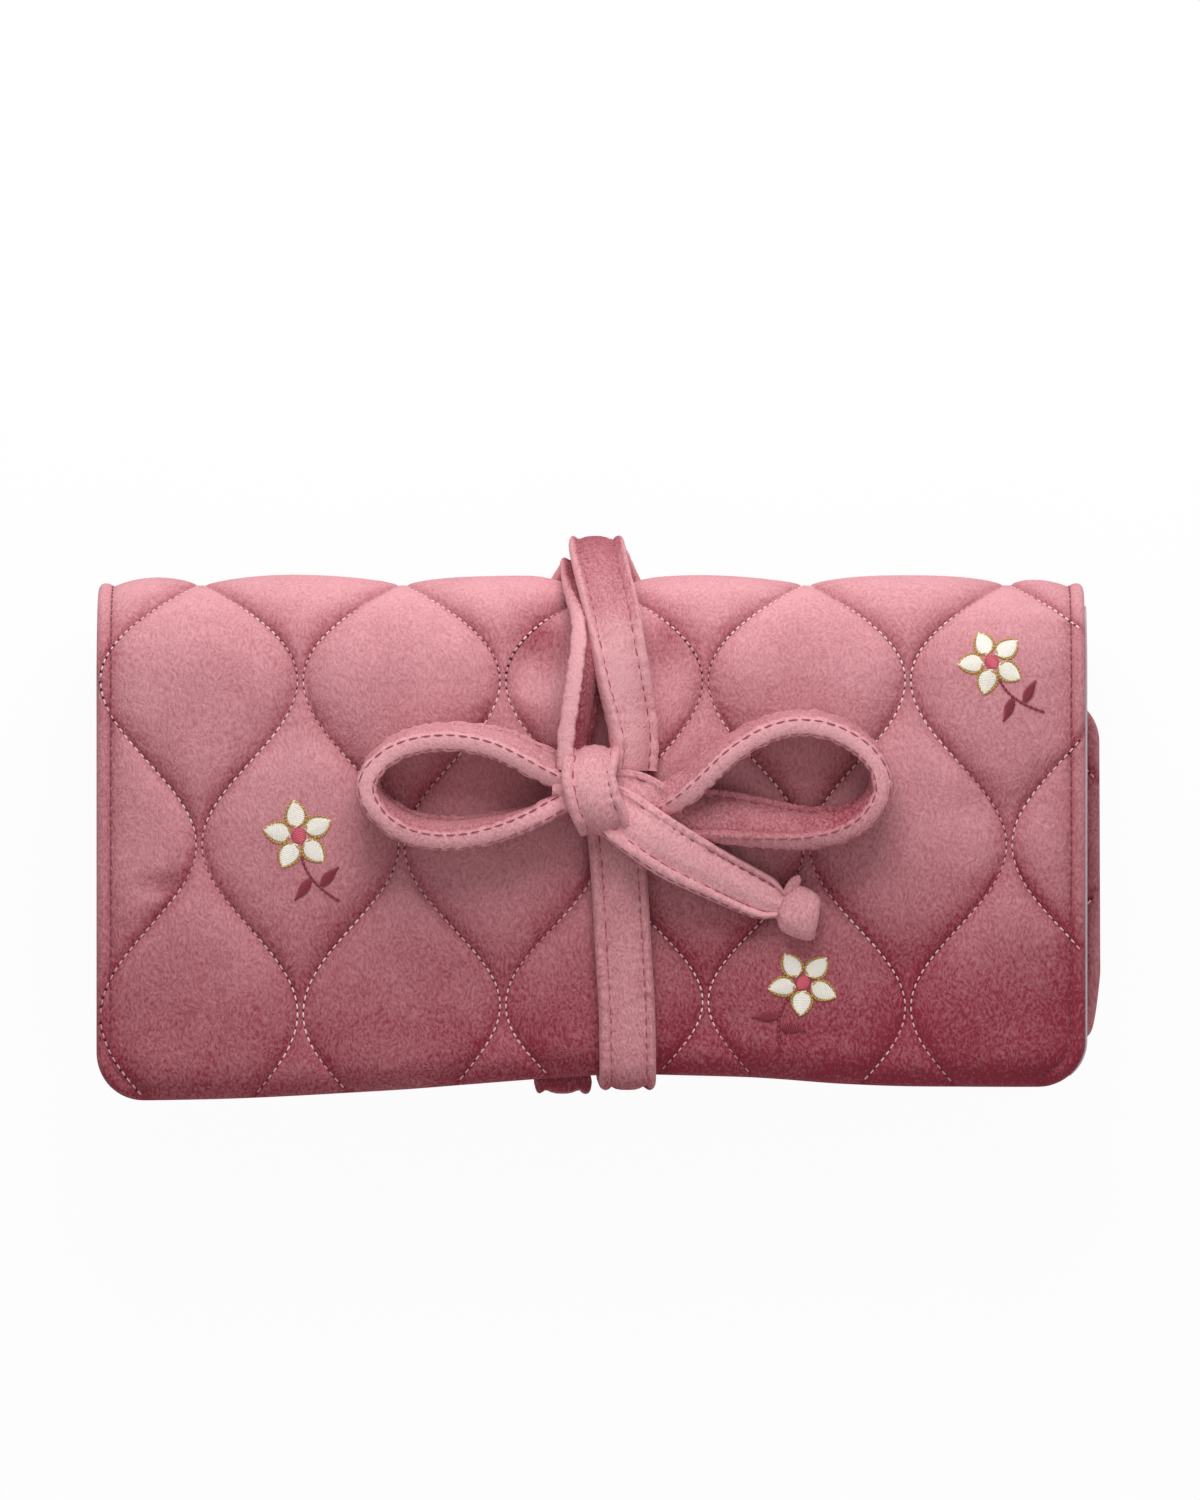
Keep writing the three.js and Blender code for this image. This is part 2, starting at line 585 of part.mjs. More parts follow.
// Zip with the two panels of the pocket it closes. X runs along the zip and Z out of the lining.
function zipPocket(prefix, below, above) {
  const group = new THREE.Group();
  const width = ROLL_WIDTH - 2 * POCKET_INSET;
  const inner = COIL_WIDTH / 2 + GAP;
  const outer = inner + TAPE_WIDTH;
  const coilLength = width - 2 * ZIP_END_INSET;
  const coilTop = GAP + COIL_HEIGHT;
  addMesh(group, `${prefix}_panel_wide`,
    block(-width / 2, -below, GAP, width, below - outer - GAP, PANEL), liningCloth);
  addMesh(group, `${prefix}_panel_narrow`,
    block(-width / 2, outer + GAP, GAP, width, above - outer - GAP, PANEL), liningCloth);
  addMesh(group, `${prefix}_tape_lower`,
    block(-width / 2, -outer, GAP, width, TAPE_WIDTH, TAPE_THICKNESS), tapeCloth);
  addMesh(group, `${prefix}_tape_upper`,
    block(-width / 2, inner, GAP, width, TAPE_WIDTH, TAPE_THICKNESS), tapeCloth);
  addMesh(group, `${prefix}_coil`,
    block(-coilLength / 2, -COIL_WIDTH / 2, GAP, coilLength, COIL_WIDTH, COIL_HEIGHT), coilNylon);
  [['left', -1], ['right', 1]].forEach(([side, sign]) => {
    const middle = sign * (coilLength / 2 + GAP + STOP_LENGTH / 2);
    const stop = block(-STOP_LENGTH / 2, -COIL_WIDTH / 2, GAP, STOP_LENGTH, COIL_WIDTH, COIL_HEIGHT);
    addMesh(group, `${prefix}_stop_${side}`, stop.translate(middle, 0, 0), brass);
  });

  // Slider: a channel over the coil, with a bridge for the pull, at the zip's closed end
  const slider = new THREE.Group();
  slider.position.x = coilLength / 2 - SLIDER_LENGTH / 2 - GAP;
  group.add(slider);
  const cheek = COIL_WIDTH / 2 + GAP;
  const foot = GAP + TAPE_THICKNESS + GAP;
  const roof = coilTop + GAP;
  const top = roof + SLIDER_WALL;
  const channel = new THREE.Shape([
    [-cheek - SLIDER_WALL, foot], [-cheek, foot], [-cheek, roof], [cheek, roof], [cheek, foot],
    [cheek + SLIDER_WALL, foot], [cheek + SLIDER_WALL, top], [-cheek - SLIDER_WALL, top],
  ].map(([y, z]) => new THREE.Vector2(y, z)));
  const body = new THREE.ExtrudeGeometry(channel, { depth: SLIDER_LENGTH, bevelEnabled: false });
  body.rotateZ(Math.PI / 2).rotateY(Math.PI / 2).translate(-SLIDER_LENGTH / 2, 0, 0);
  const hole = PULL_THICKNESS + 2 * GAP;
  const arm = BRIDGE_LENGTH / 2;
  const root = top - SLIDER_WALL / 4;
  const eave = top + hole;
  const ridge = eave + BRIDGE_RISE;
  const arch = extrudeAcross([
    [-arm, root], [-arm + BRIDGE_LEG, root], [-arm + BRIDGE_LEG, eave], [arm - BRIDGE_LEG, eave],
    [arm - BRIDGE_LEG, root], [arm, root], [arm, ridge], [-arm, ridge],
  ], BRIDGE_WIDTH);
  addMesh(slider, `${prefix}_slider`, fromSolid(toSolid(body).add(toSolid(arch))), brass);

  // Pull: a flat tab whose eye goes round one leg of the bridge
  const eye = BRIDGE_LEG / 2 + GAP;
  const reach = PULL_WIDTH / 2;
  const eyeX = PULL_EYE_WALL + eye - reach;
  const outline = new THREE.Shape();
  outline.absarc(0, 0, reach, Math.PI / 2, 1.5 * Math.PI);
  outline.lineTo(PULL_LENGTH - reach, -0.8 * reach);
  outline.absarc(PULL_LENGTH - reach, 0, 0.8 * reach, -Math.PI / 2, Math.PI / 2);
  outline.closePath();
  const slot = new THREE.Path();
  const eyeY = BRIDGE_WIDTH / 2 + GAP;
  slot.setFromPoints([[eye, eyeY], [-eye, eyeY], [-eye, -eyeY], [eye, -eyeY]].map(
    ([x, y]) => new THREE.Vector2(eyeX + x, y),
  ));
  outline.holes.push(slot);
  const pull = new THREE.ExtrudeGeometry(outline, {
    depth: PULL_THICKNESS, bevelEnabled: false, curveSegments: 6,
  });
  pull.rotateZ(Math.PI).translate(eyeX - arm + BRIDGE_LEG / 2, 0, top + GAP);
  addMesh(slider, `${prefix}_pull`, pull, brass);
  return group;
}

const flapPanel = FLAP_LENGTH - FLAP_POCKET_INSET - FLAP_ZIP_SET;
const flapZip = zipPocket('flap_zip', flapPanel, FLAP_ZIP_SET - HEM - CORNER_RADIUS / 2);
flapZip.position.set(0, TOP_Y - FLAP_LENGTH + FLAP_ZIP_SET, FLAP_TOP - LINING_TOP);
flapZip.rotation.x = Math.PI;
roll.add(flapZip);

const innerSeat = coverAt(U_INNER + INNER_ZIP_SET);
const innerPanel = INNER_LENGTH - INNER_POCKET_INSET - INNER_ZIP_SET;
const innerZip = zipPocket('inner_zip', innerPanel, INNER_ZIP_SET - HEM);
innerZip.position.set(
  INNER_PEEK,
  innerSeat.y - innerSeat.ny * LINING_TOP,
  innerSeat.z - innerSeat.nz * LINING_TOP,
);
innerZip.rotation.x = Math.PI - INNER_SLOPE;
roll.add(innerZip);

// Tie bands on the back
addMesh(roll, 'tie_back_left', strapSweep(backBand(-1)), strapCloth);
addMesh(roll, 'tie_back_right', strapSweep(backBand(1)), strapCloth);

// Tie bands over the top fold: the right one crosses over the left one
const seatLift = GAP + STRAP_THICKNESS / 2;
const stackGap = GAP + STRAP_THICKNESS + GAP;
const stackLift = stackGap + STRAP_THICKNESS / 2;
[
  ['tie_top_rear_left', -1, TOP_LEFT_X, GAP],
  ['tie_top_rear_right', 1, TOP_RIGHT_X, stackGap],
].forEach(([name, side, x, lift]) => {
  const stations = stationsOnCover(U_FOLD_B + GAP, U_FOLD_A - GAP, 8,
    (s) => lerp(x, side * BACK_BAND_X, smoothstep(s, 0, 0.55)),
    (s) => lerp(lift, GAP, smoothstep(s, 0.55, 0.95)),
    (s) => lerp(STRAP_THICKNESS, STRAP_PRESSED, s));
  addMesh(roll, name, strapSweep(stations), strapCloth);
});
[
  ['tie_top_front_left', FRONT_LEFT_X, TOP_LEFT_X, GAP],
  ['tie_top_front_right', FRONT_RIGHT_X, TOP_RIGHT_X, stackGap],
].forEach(([name, x0, x1, lift]) => {
  const stations = stationsOnCover(U_FOLD_C + GAP, U_FOLD_B - GAP, 6,
    (s) => lerp(x0, x1, s), () => lift, () => STRAP_THICKNESS);
  addMesh(roll, name, strapSweep(stations), strapCloth);
});

// Tie bands down the flap to the knot: the left one turns on edge, the right one stays flat
const edgeLift = GAP + STRAP_WIDTH / 2;
const bandEnd = KNOT_Y + KNOT_HALF_HEIGHT + GAP;

function bandStation(x, y, lift, turn) {
  const u = y + FLAP_LENGTH - TOP_Y;
  const place = coverAt(u);
  return {
    p: new THREE.Vector3(x, place.y + place.ny * lift, place.z + place.nz * lift),
    n: new THREE.Vector3(Math.sin(turn), place.ny * Math.cos(turn), place.nz * Math.cos(turn)),
  };
}

const clothY = (share) => lerp(U_FOLD_C - GAP - FLAP_LENGTH + TOP_Y, bandEnd, share);
const leftBand = [
  [FRONT_LEFT_X, 0, seatLift, 0], [-5.2, 0.2, 4.2, 0.6], [-5, 0.4, 5.6, 1.15],
  [-4.6, 0.6, edgeLift, 1.5], [-4.4, 0.8, edgeLift, 1.55], [-4.6, 1, edgeLift, 1.55],
].map(([x, share, lift, turn]) => bandStation(x, clothY(share), lift, turn));
leftBand[0].d = alongCover(U_FOLD_C - GAP).negate();
addMesh(roll, 'tie_front_left', strapSweep(leftBand), strapCloth);
const rightBand = [
  [FRONT_RIGHT_X, 0, stackLift, 0], [6, 0.25, stackLift - 1.2, 0], [7.4, 0.5, seatLift + 1.2, 0],
  [8.6, 0.75, seatLift + 0.3, 0], [9.4, 1, seatLift + 0.3, 0],
].map(([x, share, lift, turn]) => bandStation(x, clothY(share), lift, turn));
rightBand[0].d = leftBand[0].d;
addMesh(roll, 'tie_front_right', strapSweep(rightBand), strapCloth);

// Knot: the strap wrapped over the crossing, and the lobe where the right side is drawn through
const knotZ = FLAP_TOP + GAP + KNOT_HALF_DEPTH;
const wrapStations = [];
const wrapSteps = 16;
for (let i = 0; i <= wrapSteps; i += 1) {
  const a = degToRad(-75 + (330 * i) / wrapSteps);
  const ry = KNOT_HALF_HEIGHT - STRAP_THICKNESS / 2;
  const rz = KNOT_HALF_DEPTH - STRAP_THICKNESS / 2;
  wrapStations.push({
    p: new THREE.Vector3(KNOT_X, KNOT_Y + ry * Math.cos(a), knotZ + rz * Math.sin(a)),
    n: new THREE.Vector3(0, Math.cos(a) / ry, Math.sin(a) / rz).normalize(),
  });
}
addMesh(roll, 'tie_knot_wrap', strapSweep(wrapStations), strapCloth);

const coreHeight = 2 * (KNOT_HALF_HEIGHT - STRAP_THICKNESS - KNOT_CORE_SPACE);
const coreDepth = 2 * (KNOT_HALF_DEPTH - STRAP_THICKNESS - KNOT_CORE_SPACE);
const core = new THREE.CylinderGeometry(0.5, 0.5, STRAP_WIDTH, 12);
core.rotateZ(Math.PI / 2).scale(1, coreHeight, coreDepth);
core.translate(KNOT_X, KNOT_Y, knotZ);
addMesh(roll, 'tie_knot_core', core, strapCloth);

const lobe = new THREE.SphereGeometry(1, 14, 9);
const lobeX = KNOT_X + STRAP_WIDTH / 2 + GAP + LOBE_HALF_WIDTH;
lobe.rotateX(Math.PI / 2).scale(LOBE_HALF_WIDTH, LOBE_HALF_HEIGHT, LOBE_HALF_DEPTH);
lobe.translate(lobeX, KNOT_Y - LOBE_DROP, FLAP_TOP + GAP + LOBE_HALF_DEPTH);
addMesh(roll, 'tie_knot_lobe', lobe, strapCloth);

// Bow loops and tail, each through chosen points from the knot: place, then where the face looks
const loopLift = GAP + STRAP_WIDTH / 2;
const leftLoop = [
  [-8.4, 3.4, loopLift, 0.25, 1, 0], [-14, 7.6, loopLift, 0.35, 1, 0.2],
  [-25, 12.6, loopLift, 0.05, 1, 0.3], [-38, 11.2, loopLift, -0.6, 1, 0.2],
  [-46.5, 3.5, loopLift, -1, 0.2, 0.1], [-46, -5.5, loopLift, -1, -0.5, 0],
  [-39, -11, loopLift, -0.4, -1, 0], [-26, -11.2, loopLift, 0.15, -1, 0],
  [-14, -7.8, loopLift, 0.3, -1, 0], [-8.4, -4.2, loopLift, 0.3, -1, 0],
];
addMesh(roll, 'tie_loop_left', strapSweep(stationsThrough(leftLoop, 26)), strapCloth);
const flatLift = seatLift + BOW_LIFT;
const rightLoop = [
  [19.8, 1.6, loopLift, -0.5, 1, 0], [27, 7, loopLift, -0.5, 1, 0], [35, 13, loopLift, -0.3, 1, 0],
  [45, 15.6, loopLift, 0.1, 1, 0], [55, 12, loopLift, 0.7, 0.8, 0], [61, 3, loopLift, 1, 0.1, 0.1],
  [58.5, -5, loopLift - 1, 0.8, -0.7, 0.5], [49, -8.4, 4.8, 0.1, -0.8, 1],
  [38, -7.8, flatLift, 0, -0.1, 1], [29, -6, flatLift, 0, 0, 1],
  [20.8, -4.4, flatLift + BOW_LIFT, 0, 0, 1],
];
addMesh(roll, 'tie_loop_right', strapSweep(stationsThrough(rightLoop, 28)), strapCloth);
const tail = [
  [6.5, -2.2, 14.2, 0, 0, 1], [12, -5.4, 14.6, 0.05, 0, 1], [18, -9.2, 12.4, 0.3, -0.1, 1],
  [25, -14, 8, 0.35, -0.15, 1], [32, -19, 4.2, 0.2, -0.1, 1], [38, -23.2, flatLift, 0, 0, 1],
  [43, -26.6, flatLift, 0, 0, 1],
];
addMesh(roll, 'tie_tail', strapSweep(stationsThrough(tail, 14)), strapCloth);
const tailEnd = tail.slice(-2).map(
  ([x, y, z]) => new THREE.Vector3(KNOT_X + x, KNOT_Y + y, FLAP_TOP + z),
);
const tailWay = tailEnd[1].clone().sub(tailEnd[0]).normalize();
const up = new THREE.Vector3(0, 0, 1);
const capStations = [GAP, 0.5 * TAIL_CAP_LENGTH, TAIL_CAP_LENGTH].map((d) => ({
  p: tailEnd[1].clone().addScaledVector(tailWay, d), n: up, t: 1.2 * STRAP_THICKNESS,
}));
addMesh(roll, 'tie_tail_cap', strapSweep(capStations, 0.86 * STRAP_WIDTH), strapCloth);

// Tie band below the knot, down to the flap's lower edge
const edgeY = TOP_Y - FLAP_LENGTH + edgeShape(LOWER_BAND_X, 0);
const lowerTop = KNOT_Y - KNOT_HALF_HEIGHT - LOWER_BAND_DROP;
const lowerFootX = LOWER_BAND_X - LOWER_BAND_LEAN;
const lowerBand = [0, 0.3, 0.6, 0.85, 1].map((s) => ({
  p: new THREE.Vector3(
    LOWER_BAND_X - LOWER_BAND_LEAN * s,
    lerp(lowerTop, edgeY - GAP, s),
    FLAP_TOP + seatLift,
  ),
  n: up,
}));
const wrapDown = [0.5, 1].map((s) => {
  const sin = Math.sin(s * Math.PI / 2);
  const cos = Math.cos(s * Math.PI / 2);
  return {
    p: new THREE.Vector3(lowerFootX, edgeY - GAP - seatLift * sin, FLAP_TOP + seatLift * cos),
    n: new THREE.Vector3(0, -sin, cos),
  };
});
wrapDown[1].d = new THREE.Vector3(0, 0, -1);
addMesh(roll, 'tie_front_lower', strapSweep([...lowerBand, ...wrapDown]), strapCloth);

// Tie bands round the bottom fold: one comes down from the flap's edge, one from under the flap
const foldFoot = coverAt(U_FOLD_D + GAP);
const foldSide = coverAt(U_BOTTOM + (Math.PI / 3) * BOTTOM_FOLD_RADIUS);

function bottomBand(side, x, topY, bendZ, topZ) {
  const onFold = [foldFoot, foldSide].map((place) => ({
    p: new THREE.Vector3(side, place.y + place.ny * seatLift, place.z + place.nz * seatLift),
    n: new THREE.Vector3(0, place.ny, place.nz),
  }));
  const low = onFold[1].p;
  const bend = new THREE.Vector3(x, topY, bendZ);
  const slope = new THREE.Vector3(0, low.z - bend.z, bend.y - low.y).normalize();
  const free = [
    { p: low.clone().lerp(bend, 0.5), n: slope },
    { p: bend, n: slope.clone().lerp(new THREE.Vector3(0, -1, 0), 0.5).normalize() },
    { p: new THREE.Vector3(x, topY, topZ), n: new THREE.Vector3(0, -1, 0), d: up },
  ];
  return strapSweep([...onFold, ...free]);
}

const edgeFoot = FLAP_TOP - LINING_TOP - GAP;
const outsideEdge = edgeY - GAP - seatLift;
const underEdge = edgeY - STRAP_THICKNESS / 4;
const outerBend = edgeFoot - STRAP_THICKNESS;
const innerBend = edgeFoot - 2 * STRAP_THICKNESS;
addMesh(roll, 'tie_bottom_right',
  bottomBand(BACK_BAND_X, lowerFootX, outsideEdge, outerBend, FLAP_TOP - GAP), strapCloth);
addMesh(roll, 'tie_bottom_left',
  bottomBand(-BACK_BAND_X, -BACK_BAND_X, underEdge, innerBend, edgeFoot), strapCloth);

// Origin under the middle of the roll's box, without the free ends of the bow
const freeEnds = ['tie_loop_left', 'tie_loop_right', 'tie_tail', 'tie_tail_cap'];
roll.updateMatrixWorld(true);
const bounds = new THREE.Box3();
roll.traverse((item) => {
  if (item.isMesh && !freeEnds.includes(item.name)) bounds.expandByObject(item, true);
});
const middle = bounds.getCenter(new THREE.Vector3());
roll.position.set(-middle.x, -middle.y, -bounds.min.z);
roll.updateMatrixWorld(true);

export default roll;
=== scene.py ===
# %% [markdown]
# # A quilted velvet jewelry roll, tied with a strap
# The real roll is one padded velvet sheet, quilted in ogee puffs, lined with satin and folded in
# three. A long velvet strap goes twice round it and ends in a bow. This lesson dresses the packed
# solids: each soft solid is replaced by a finer piece that lies in the same place.

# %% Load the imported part
import json
import math

import bmesh
import bpy
import numpy as np
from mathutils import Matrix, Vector

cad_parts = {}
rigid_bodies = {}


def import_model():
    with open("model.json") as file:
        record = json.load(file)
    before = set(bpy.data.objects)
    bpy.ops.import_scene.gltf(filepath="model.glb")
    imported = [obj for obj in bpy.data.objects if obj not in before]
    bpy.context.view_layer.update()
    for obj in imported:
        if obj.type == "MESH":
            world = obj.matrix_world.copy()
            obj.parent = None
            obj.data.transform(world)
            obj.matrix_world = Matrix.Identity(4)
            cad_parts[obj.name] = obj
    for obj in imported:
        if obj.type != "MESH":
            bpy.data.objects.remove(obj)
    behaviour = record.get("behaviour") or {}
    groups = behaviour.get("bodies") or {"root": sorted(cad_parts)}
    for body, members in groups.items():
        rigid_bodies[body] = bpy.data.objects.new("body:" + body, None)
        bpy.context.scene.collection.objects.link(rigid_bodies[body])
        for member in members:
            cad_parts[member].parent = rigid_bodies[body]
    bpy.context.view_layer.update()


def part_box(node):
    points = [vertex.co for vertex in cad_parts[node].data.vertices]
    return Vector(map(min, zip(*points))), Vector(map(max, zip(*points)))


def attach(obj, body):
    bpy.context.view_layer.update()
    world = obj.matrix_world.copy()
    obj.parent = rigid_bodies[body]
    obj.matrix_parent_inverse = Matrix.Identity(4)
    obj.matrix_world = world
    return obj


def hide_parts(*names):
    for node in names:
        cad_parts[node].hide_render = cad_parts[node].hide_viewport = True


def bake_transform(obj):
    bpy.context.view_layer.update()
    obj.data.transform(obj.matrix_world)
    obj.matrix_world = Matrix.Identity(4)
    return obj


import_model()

# %% [markdown]
# ## The cloth as a flat pattern
# A sewn thing is easiest to think of as its flat pattern. Every point of the cover has a place x
# across the roll and a cloth length u from the flap's lower edge, and one function lays that
# pattern round both folds. Sizes are millimetres until the last moment.

# %% Sizes of the pattern
MM = 0.001                               # one millimetre, in metres
HALF = 105.0                             # half the width of the cloth
TOP_RADIUS, BOTTOM_RADIUS = 22.5, 14.0   # of the cover's outer face round the folds
FLAP_LENGTH, BACK_LENGTH, INNER_LENGTH = 87.0, 64.0, 60.0
INNER_FALL = 9.39                        # the inner third falls this far to its free end
INNER_SLOPE = math.asin(INNER_FALL / INNER_LENGTH)
INNER_PEEK = 3.6                         # the inner third is folded in askew and shows at the right
CORNER, HEM = 10.0, 3.0                  # corner radius, and topstitching to edge
PAD, LINING_TOP = 4.2, 5.5               # depth of the wadding and of the lining's inner face
TOP_Y = BACK_LENGTH / 2
RING_Y = TOP_Y + 5                       # middle of the ring bar
FLAP_TOP = 2 * TOP_RADIUS
BOTTOM_TURN = math.pi + INNER_SLOPE
U_TOP = FLAP_LENGTH
U_BACK = U_TOP + math.pi * TOP_RADIUS
U_BOTTOM = U_BACK + BACK_LENGTH
U_INNER = U_BOTTOM + BOTTOM_TURN * BOTTOM_RADIUS
U_END = U_INNER + INNER_LENGTH
FOLD_C, FOLD_B, FOLD_A = (U_TOP + math.pi * TOP_RADIUS * k / 6 for k in (1, 3, 5))
FOLD_D = U_BOTTOM + BOTTOM_RADIUS * math.pi / 4
FOLD_E = FOLD_D + BOTTOM_RADIUS * BOTTOM_TURN / 2

bar_low, bar_high = (Vector(c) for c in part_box("ring_bar"))
SHIFT = (bar_low + bar_high) / 2 / MM - Vector((0, RING_Y, 0))
SHIFT.z = 0
print("cloth length %.1f mm, frame shift %.3f %.3f" % (U_END, SHIFT.x, SHIFT.y))


# %% Laying the pattern round the folds
def cover_at(u):
    """y, z and the outward direction of the cover's outer face at cloth length u."""
    u = np.asarray(u, float)
    top = np.clip((u - U_TOP) / TOP_RADIUS, 0, math.pi)
    bottom = np.clip((u - U_BOTTOM) / BOTTOM_RADIUS, 0, BOTTOM_TURN)
    run = np.maximum(u - U_INNER, 0)
    y = (TOP_Y + np.minimum(u - U_TOP, 0) + TOP_RADIUS * np.sin(top)
         - np.clip(u - U_BACK, 0, BACK_LENGTH) - BOTTOM_RADIUS * np.sin(bottom)
         + run * math.cos(INNER_SLOPE))
    z = (TOP_RADIUS * (1 + np.cos(top)) + BOTTOM_RADIUS * (1 - np.cos(bottom))
         - run * math.sin(INNER_SLOPE))
    return y, z, np.sin(top + bottom), np.cos(top + bottom)


# %% The flap's lower edge
# How far it is drawn up at each place across
EDGE_X = [-105, -94, -75, -61, -40, -10, 6, 34, 44, 51, 66, 87, 105]
EDGE_RISE = [-2.3, -2.3, -1.9, -1.2, 0, 2.4, 3.4, 2.7, 2.0, 1.3, 0.7, 0.6, 0.6]
edge_x = np.arange(-125, 125.5, 0.5)     # half-millimetre steps, softened over 6 mm
edge_soft = np.exp(-((np.arange(-24, 25) / 2 / 6) ** 2))
edge_rise = np.pad(np.interp(edge_x, EDGE_X, EDGE_RISE), 24, "edge")
edge_rise = np.convolve(edge_rise, edge_soft / edge_soft.sum(), "valid")
ROLL_DROP, ROLL_REACH = 2.6, 9           # the padded hem rolls down at that edge


def edge_shape(x, u):
    """The flap's lower edge hangs lowest at its left corner and is drawn up by the tie."""
    t = np.clip(np.asarray(u) / 40, 0, 1)
    return np.interp(x, edge_x, edge_rise) * (1 - t * t * (3 - 2 * t))


def edge_roll(u):
    """How far the padded hem rolls down at the flap's lower edge."""
    return ROLL_DROP * np.clip(1 - np.asarray(u) / ROLL_REACH, 0, 1) ** 2


# %% Places and outline
def lay(x, u, h):
    """Points in the frame, in metres, of places x, u on the pattern at height h off it."""
    y, z, ny, nz = cover_at(u)
    skew = INNER_PEEK * np.clip((u - U_BOTTOM) / (U_INNER - U_BOTTOM), 0, 1)
    points = np.stack([x + skew, y + ny * h + edge_shape(x, u), z + nz * h - edge_roll(u)], -1)
    return (points + np.array(SHIFT)) * MM


def hem_distance(x, u):
    """Distance from the cloth's outline, which has rounded corners at both free ends."""
    d = np.minimum(u, U_END - u)
    qx, qu = np.abs(x) - (HALF - CORNER), CORNER - d
    corner = CORNER - np.hypot(np.maximum(qx, 0), np.maximum(qu, 0))
    return np.where((qx > 0) & (qu > 0), corner, np.minimum(HALF - np.abs(x), d))


def half_width(u, inset):
    """Half width of the outline, or of the line that runs inset inside it."""
    d = np.minimum(u, U_END - u)
    radius = CORNER - inset
    k = np.clip(radius - (d - inset), 0, radius)
    return HALF - inset - (radius - np.sqrt(radius ** 2 - k ** 2))


# %% [markdown]
# ## Quilting
# Ogee quilting is a set of wavy seams that nearly touch in turn. Between two seams the wadding
# pushes the velvet up into a puff with steep sides and a broad crown, and at the seams it is sewn
# down. A height over the flat pattern says all of that, and the columns of the mesh follow the
# seams, so that each valley is crisp.

# %% Seams
QUILT_WIDTH, QUILT_LENGTH, QUILT_WAVE = 43.0, 70.0, 10.15
QUILT_X, QUILT_U, SEAM_DEPTH = -7.95, 17.0, 2.5
SEAM_NUMBERS = np.arange(-4, 6)
BAND_X = 6.6                             # the tie's two bands lie this far from the middle below
FLAT_FROM, FLAT_TO = 146, 233            # cloth lengths that the roll's weight presses level


def seam_x(u):
    """Places across of all the seams at each cloth length."""
    wave = QUILT_WAVE * np.cos(2 * math.pi * (np.asarray(u, float) - QUILT_U) / QUILT_LENGTH)
    side = np.where(SEAM_NUMBERS % 2 == 0, -1, 1)
    return QUILT_X + SEAM_NUMBERS * QUILT_WIDTH / 2 + wave[..., None] * side


def band_press(x, u):
    """How deep the tie sinks into the padding: into the flap, round the folds and on the back."""
    upper = np.interp(u, [70, 98, 122], [2.0, 0.5, 0.5])
    above, below = np.exp(-(((x - upper) / 9.5) ** 4)), np.exp(-(((x - BAND_X) / 6.5) ** 4))
    front = np.where(u > 62, above, below)
    on_front = np.clip((u - 1) / 4, 0, 1) * np.clip((150 - u) / 10, 0, 1)
    back = np.exp(-(((np.abs(x) - BAND_X) / 6.4) ** 8))
    on_back = np.clip((u - 142) / 8, 0, 1) * np.clip((238 - u) / 6, 0, 1)
    return 1.1 * front * on_front + 3.2 * back * on_back


# %% Puff height
# Dents in the puffs: place, cloth length, half width, half length and depth
DENTS = [(-11.5, 92, 8, 9, 2.0), (14.5, 91, 8, 9, 1.9), (-15, 82, 9, 4, -0.5),
         (-91, 43, 5, 2.5, 0.7), (2, 62, 26, 9, 0.8), (83, 60, 12, 5, 0.5),
         (-60, 75, 15, 5, 0.35), (60, 26, 13, 6, 0.5), (-28, 22, 12, 5, 0.4)]


def puckers(x, u, near):
    """Gathers square to the seams, slow waves of the wadding, and dents where the tie draws it in."""
    gather = np.sin(1.7 * u + 2.1 * np.sin(0.31 * x + 0.05 * u)) * np.exp(-near / 2.6)
    slow = np.sin(0.093 * x + 1.3) * np.sin(0.117 * u + 0.7) + 0.6 * np.sin(0.21 * x - 0.13 * u)
    dents = sum(d * np.exp(-((x - a) / p) ** 2 - ((u - b) / q) ** 2) for a, b, p, q, d in DENTS)
    return 0.10 * gather + 0.13 * slow - dents


